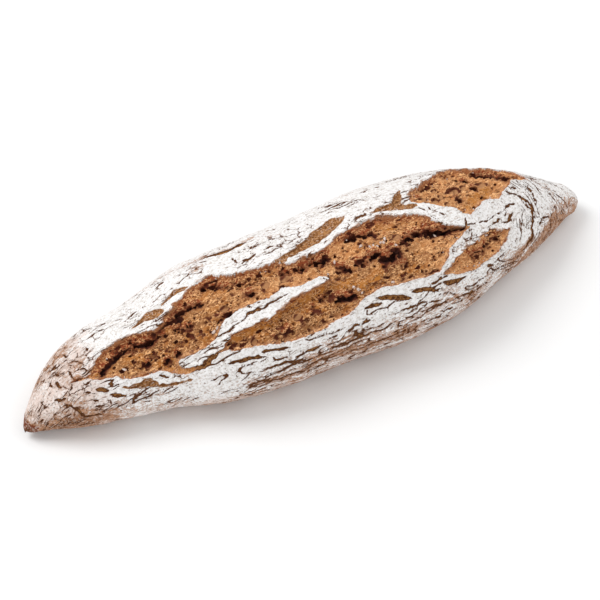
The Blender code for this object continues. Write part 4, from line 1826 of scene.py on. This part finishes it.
@dataclass(frozen=True)
class TornCrumbFinish:
    """Moist brown crumb: light torn strands, reddish torn edges, painted shade in pits and caves."""

    # The light colour is partly the strands' own tone, partly a painted highlight on proud places.
    light: Triple = daylight(252, 194, 136)
    golden: Triple = daylight(170, 107, 50)
    crusty_gold: Triple = daylight(180, 114, 44)
    tan: Triple = daylight(164, 112, 69)
    pale: Triple = daylight(210, 147, 95)
    brown: Triple = daylight(104, 56, 28)
    russet: Triple = daylight(140, 68, 34)
    # Painted highlight along the near edges of the openings.
    near_edge_highlight: Triple = daylight(222, 168, 136)
    # Painted shade round the caves, in pits and bubble rims, and deep inside the caves.
    shade_round_caves: Triple = daylight(112, 54, 28)
    pit_shade: Triple = daylight(92, 40, 23)
    cave: Triple = daylight(50, 19, 11)
    bubble: Triple = daylight(176, 130, 90)
    relief: float = 0.45
    roughness: float = 0.85

    def make(self) -> bpy.types.Material:
        """Mix the finish.

        Returns:
            The material.
        """
        mix = Recipe("torn_crumb")
        grain = mix.noise((0.85, 0.62, 0.62), 2.0, 0.65)
        strand = mix.noise((2.0, 1.1, 1.1), 2.0, 0.6, 4.0) - 0.5
        fibre = mix.noise((2.8, 1.5, 1.5), 3.0, 0.6, 13.0)
        patch = mix.noise((8.0, 4.0, 4.0), 2.0, 0.5, 9.0)
        hollow = mix.field("hollow")
        smooth = mix.field("smooth")
        rough = 1.0 - smooth * 0.9
        # The crumb's own brown, in patches.
        colour = mix.blend(mix.step(patch, 0.38, 0.62), self.golden, self.tan)
        colour = mix.blend(mix.field("pale") * 0.7, colour, self.pale)
        gold = mix.step(mix.field("gold") + (fibre - 0.5) * 0.8, 0.25, 0.7)
        colour = mix.blend(gold * 0.8, colour, self.crusty_gold)
        slow = mix.noise((11.0, 5.0, 5.0), 2.0, 0.5, 27.0)
        dark = mix.step(fibre + (grain - 0.5) * 1.4 + (slow - 0.5) * 0.8, 0.45, 0.64)
        calm = mix.step(mix.field("pale"), 0.8, 1.1)
        colour = mix.blend(dark * rough * (0.95 - calm * 0.3), colour, self.brown)
        # Reddish brown along the far walls and on the lips of the caves.
        wall = mix.step(mix.field("torn") + (fibre - 0.5) * 3.0, -3.0, -0.2) * mix.field("far")
        lip = mix.step(mix.field("lip") + (fibre - 0.5) * 0.9, 0.25, 0.75)
        edge = wall * (0.7 - calm * 0.3) + lip * 0.8
        russet = mix.step(edge + (grain - 0.5) * 0.5, 0.1, 0.75) * (1.0 - gold * 0.8)
        colour = mix.blend(russet, colour, self.russet)
        # Light: torn strands, bubbles' bowls; painted highlights on near edges, proud places and rings.
        loose = mix.step(fibre + (grain - 0.5) * 0.6, 0.36, 0.56)
        worm = mix.step(strand * strand, 0.0040, 0.0003) * loose
        proud_highlight = mix.step(hollow * -1.0 + (grain - 0.5) * 1.4, 0.10, 0.6)
        near_edge = mix.step(mix.field("torn") + (fibre - 0.5) * 2.0, -1.8, 0.0)
        near_edge = near_edge * (1.0 - mix.field("far"))
        colour = mix.blend(near_edge * mix.step(grain, 0.35, 0.6) * 0.55, colour, self.near_edge_highlight)
        bright = (worm * 0.9 + proud_highlight * 0.55) * rough * (1.0 - gold * 0.35)
        bright = bright * (mix.field("pale") * 0.15 + 0.94)
        colour = mix.blend(bright, colour, self.light)
        colour = mix.blend(smooth * 0.75, colour, self.bubble)
        colour = mix.blend(mix.field("ring") * mix.step(grain, 0.35, 0.55) * 0.6, colour, self.light)
        # Dark, painted shade: round the caves, in the pits and bubble rims, and deep inside the caves.
        shade_round_caves_mask = mix.step(mix.field("shadow") + (fibre - 0.5) * 1.2 + (grain - 0.5) * 1.2, 0.15, 0.75)
        colour = mix.blend(shade_round_caves_mask * 0.75, colour, self.shade_round_caves)
        sunk = (hollow + (fibre - 0.5) * 0.7 + (grain - 0.5) * 0.7) * rough + mix.field("rim") * 0.9
        colour = mix.blend(mix.step(sunk, 0.20, 1.0), colour, self.pit_shade)
        shadow = mix.step(mix.field("shadow") + (grain - 0.5) * 0.5, 0.30, 0.85)
        deep = mix.step(hollow + (fibre - 0.5) * 1.6, 0.5, 1.9)
        colour = mix.blend(shadow * deep, colour, self.cave)
        height = grain * 0.6 + fibre * 0.4 + worm * 0.25
        return mix.finish(colour, mix.raise_by(height * rough, self.relief), self.roughness)


@dataclass(frozen=True)
class PlainFloorFinish:
    """A pale matt floor."""

    shade: Triple = (0.93, 0.93, 0.93)
    roughness: float = 0.9
    gloss: float = 0.1

    def make(self) -> bpy.types.Material:
        """Mix the finish.

        Returns:
            The material.
        """
        material = bpy.data.materials.new("pale_floor")
        material.use_nodes = True
        surface = material.node_tree.nodes["Principled BSDF"]
        surface.inputs["Base Color"].default_value = self.shade + (1.0,)
        surface.inputs["Roughness"].default_value = self.roughness
        surface.inputs["Specular IOR Level"].default_value = self.gloss
        return material


# --------------------------------------------------------------------------------------
# Studio
# --------------------------------------------------------------------------------------


@dataclass(frozen=True)
class Lamp:
    """A square light that faces the loaf, with its place and size in metres."""

    name: str
    place: Triple
    size: float
    power: float


@dataclass
class Studio:
    """The floor, the lamps and the camera.

    The camera's target and distance are in millimetres, its elevation and heading in degrees.
    The floor's side, the view's reach and the spot that the lamps face are in metres.
    """

    target: Triple = (-7.8, -0.1, 20.0)
    elevation: float = 50.0
    heading: float = 30.0
    distance: float = 850.0
    lens: float = 135.8
    film_width: float = 36.0
    sky: float = 0.67
    floor_side: float = 6.0
    view_reach: float = 20.0
    lit_spot: Triple = (0.0, 0.0, 0.02)
    lamps: tuple[Lamp, ...] = (
        Lamp("key", (-0.55, 0.5, 1.05), 0.7, 8.0),
        Lamp("fill", (-0.7, -0.8, 0.7), 0.9, 1.5),
        Lamp("right_fill", (0.9, -0.3, 0.9), 0.9, 2.6),
    )

    def lay_floor(self) -> None:
        """Lay the pale floor."""
        deselect()
        bpy.ops.mesh.primitive_plane_add(size=self.floor_side)
        floor = bpy.context.object
        floor.name = "floor"
        floor.data.materials.append(PlainFloorFinish().make())

    def hang(self, lamp: Lamp) -> None:
        """Hang one lamp.

        Args:
            lamp: the lamp.
        """
        deselect()
        bpy.ops.object.light_add(type="AREA", location=lamp.place)
        light = bpy.context.object
        light.name = lamp.name
        light.data.size = lamp.size
        light.data.energy = lamp.power
        sight = Vector(self.lit_spot) - Vector(lamp.place)
        light.rotation_euler = sight.to_track_quat("-Z", "Y").to_euler()

    def light(self) -> None:
        """Set up an even sky and the lamps."""
        scene = bpy.context.scene
        world = bpy.data.worlds.new("studio")
        world.use_nodes = True
        background = world.node_tree.nodes["Background"]
        background.inputs["Color"].default_value = (1.0, 1.0, 1.0, 1.0)
        background.inputs["Strength"].default_value = self.sky
        scene.world = world
        for lamp in self.lamps:
            self.hang(lamp)
        scene.view_settings.view_transform = "Standard"
        scene.view_settings.look = "None"

    def aim_camera(self) -> None:
        """Place the camera."""
        rise, turn = math.radians(self.elevation), math.radians(self.heading)
        level = math.cos(rise)
        forward = Vector((math.sin(turn) * level, math.cos(turn) * level, -math.sin(rise)))
        right = Vector((math.cos(turn), -math.sin(turn), 0.0))
        up = right.cross(forward)
        place = Vector(self.target) - forward * self.distance
        data = bpy.data.cameras.new("camera")
        data.lens = self.lens
        data.sensor_width = self.film_width
        data.clip_end = self.view_reach
        camera = bpy.data.objects.new("camera", data)
        axes = Matrix((right, up, -forward)).transposed().to_4x4()
        camera.matrix_world = Matrix.Translation(place * MM) @ axes
        bpy.context.scene.collection.objects.link(camera)
        bpy.context.scene.camera = camera

    def build(self) -> None:
        """Set up the whole studio."""
        self.lay_floor()
        self.light()
        self.aim_camera()


def main() -> None:
    """Build the loaf and the studio."""
    logging.basicConfig(level=logging.INFO, format="%(message)s")
    form = LoafForm()
    crust_finish = FlouredCrustFinish().make()
    crumb_finish = TornCrumbFinish().make()
    pieces = Crust(form).build(crust_finish)
    crumbs = [
        TornCrumb("crumb_main", form, (-103.0, 60.5), (-33.5, 7.5), 101, cuts=(-46.0, 8.0)),
        TornCrumb("crumb_far", form, (39.0, 98.5), (-14.0, 17.0), 202),
        TornCrumb("crumb_side", form, (38.0, 77.0), (-34.5, -17.0), 303),
    ]
    for torn in crumbs:
        pieces += torn.build(crumb_finish)
    pieces.append(Flecks().build(crumbs, crust_finish))
    for piece in pieces:
        LOG.info("%s: %d faces", piece.name, len(piece.data.polygons))
    Studio().build()


if __name__ == "__main__":
    main()
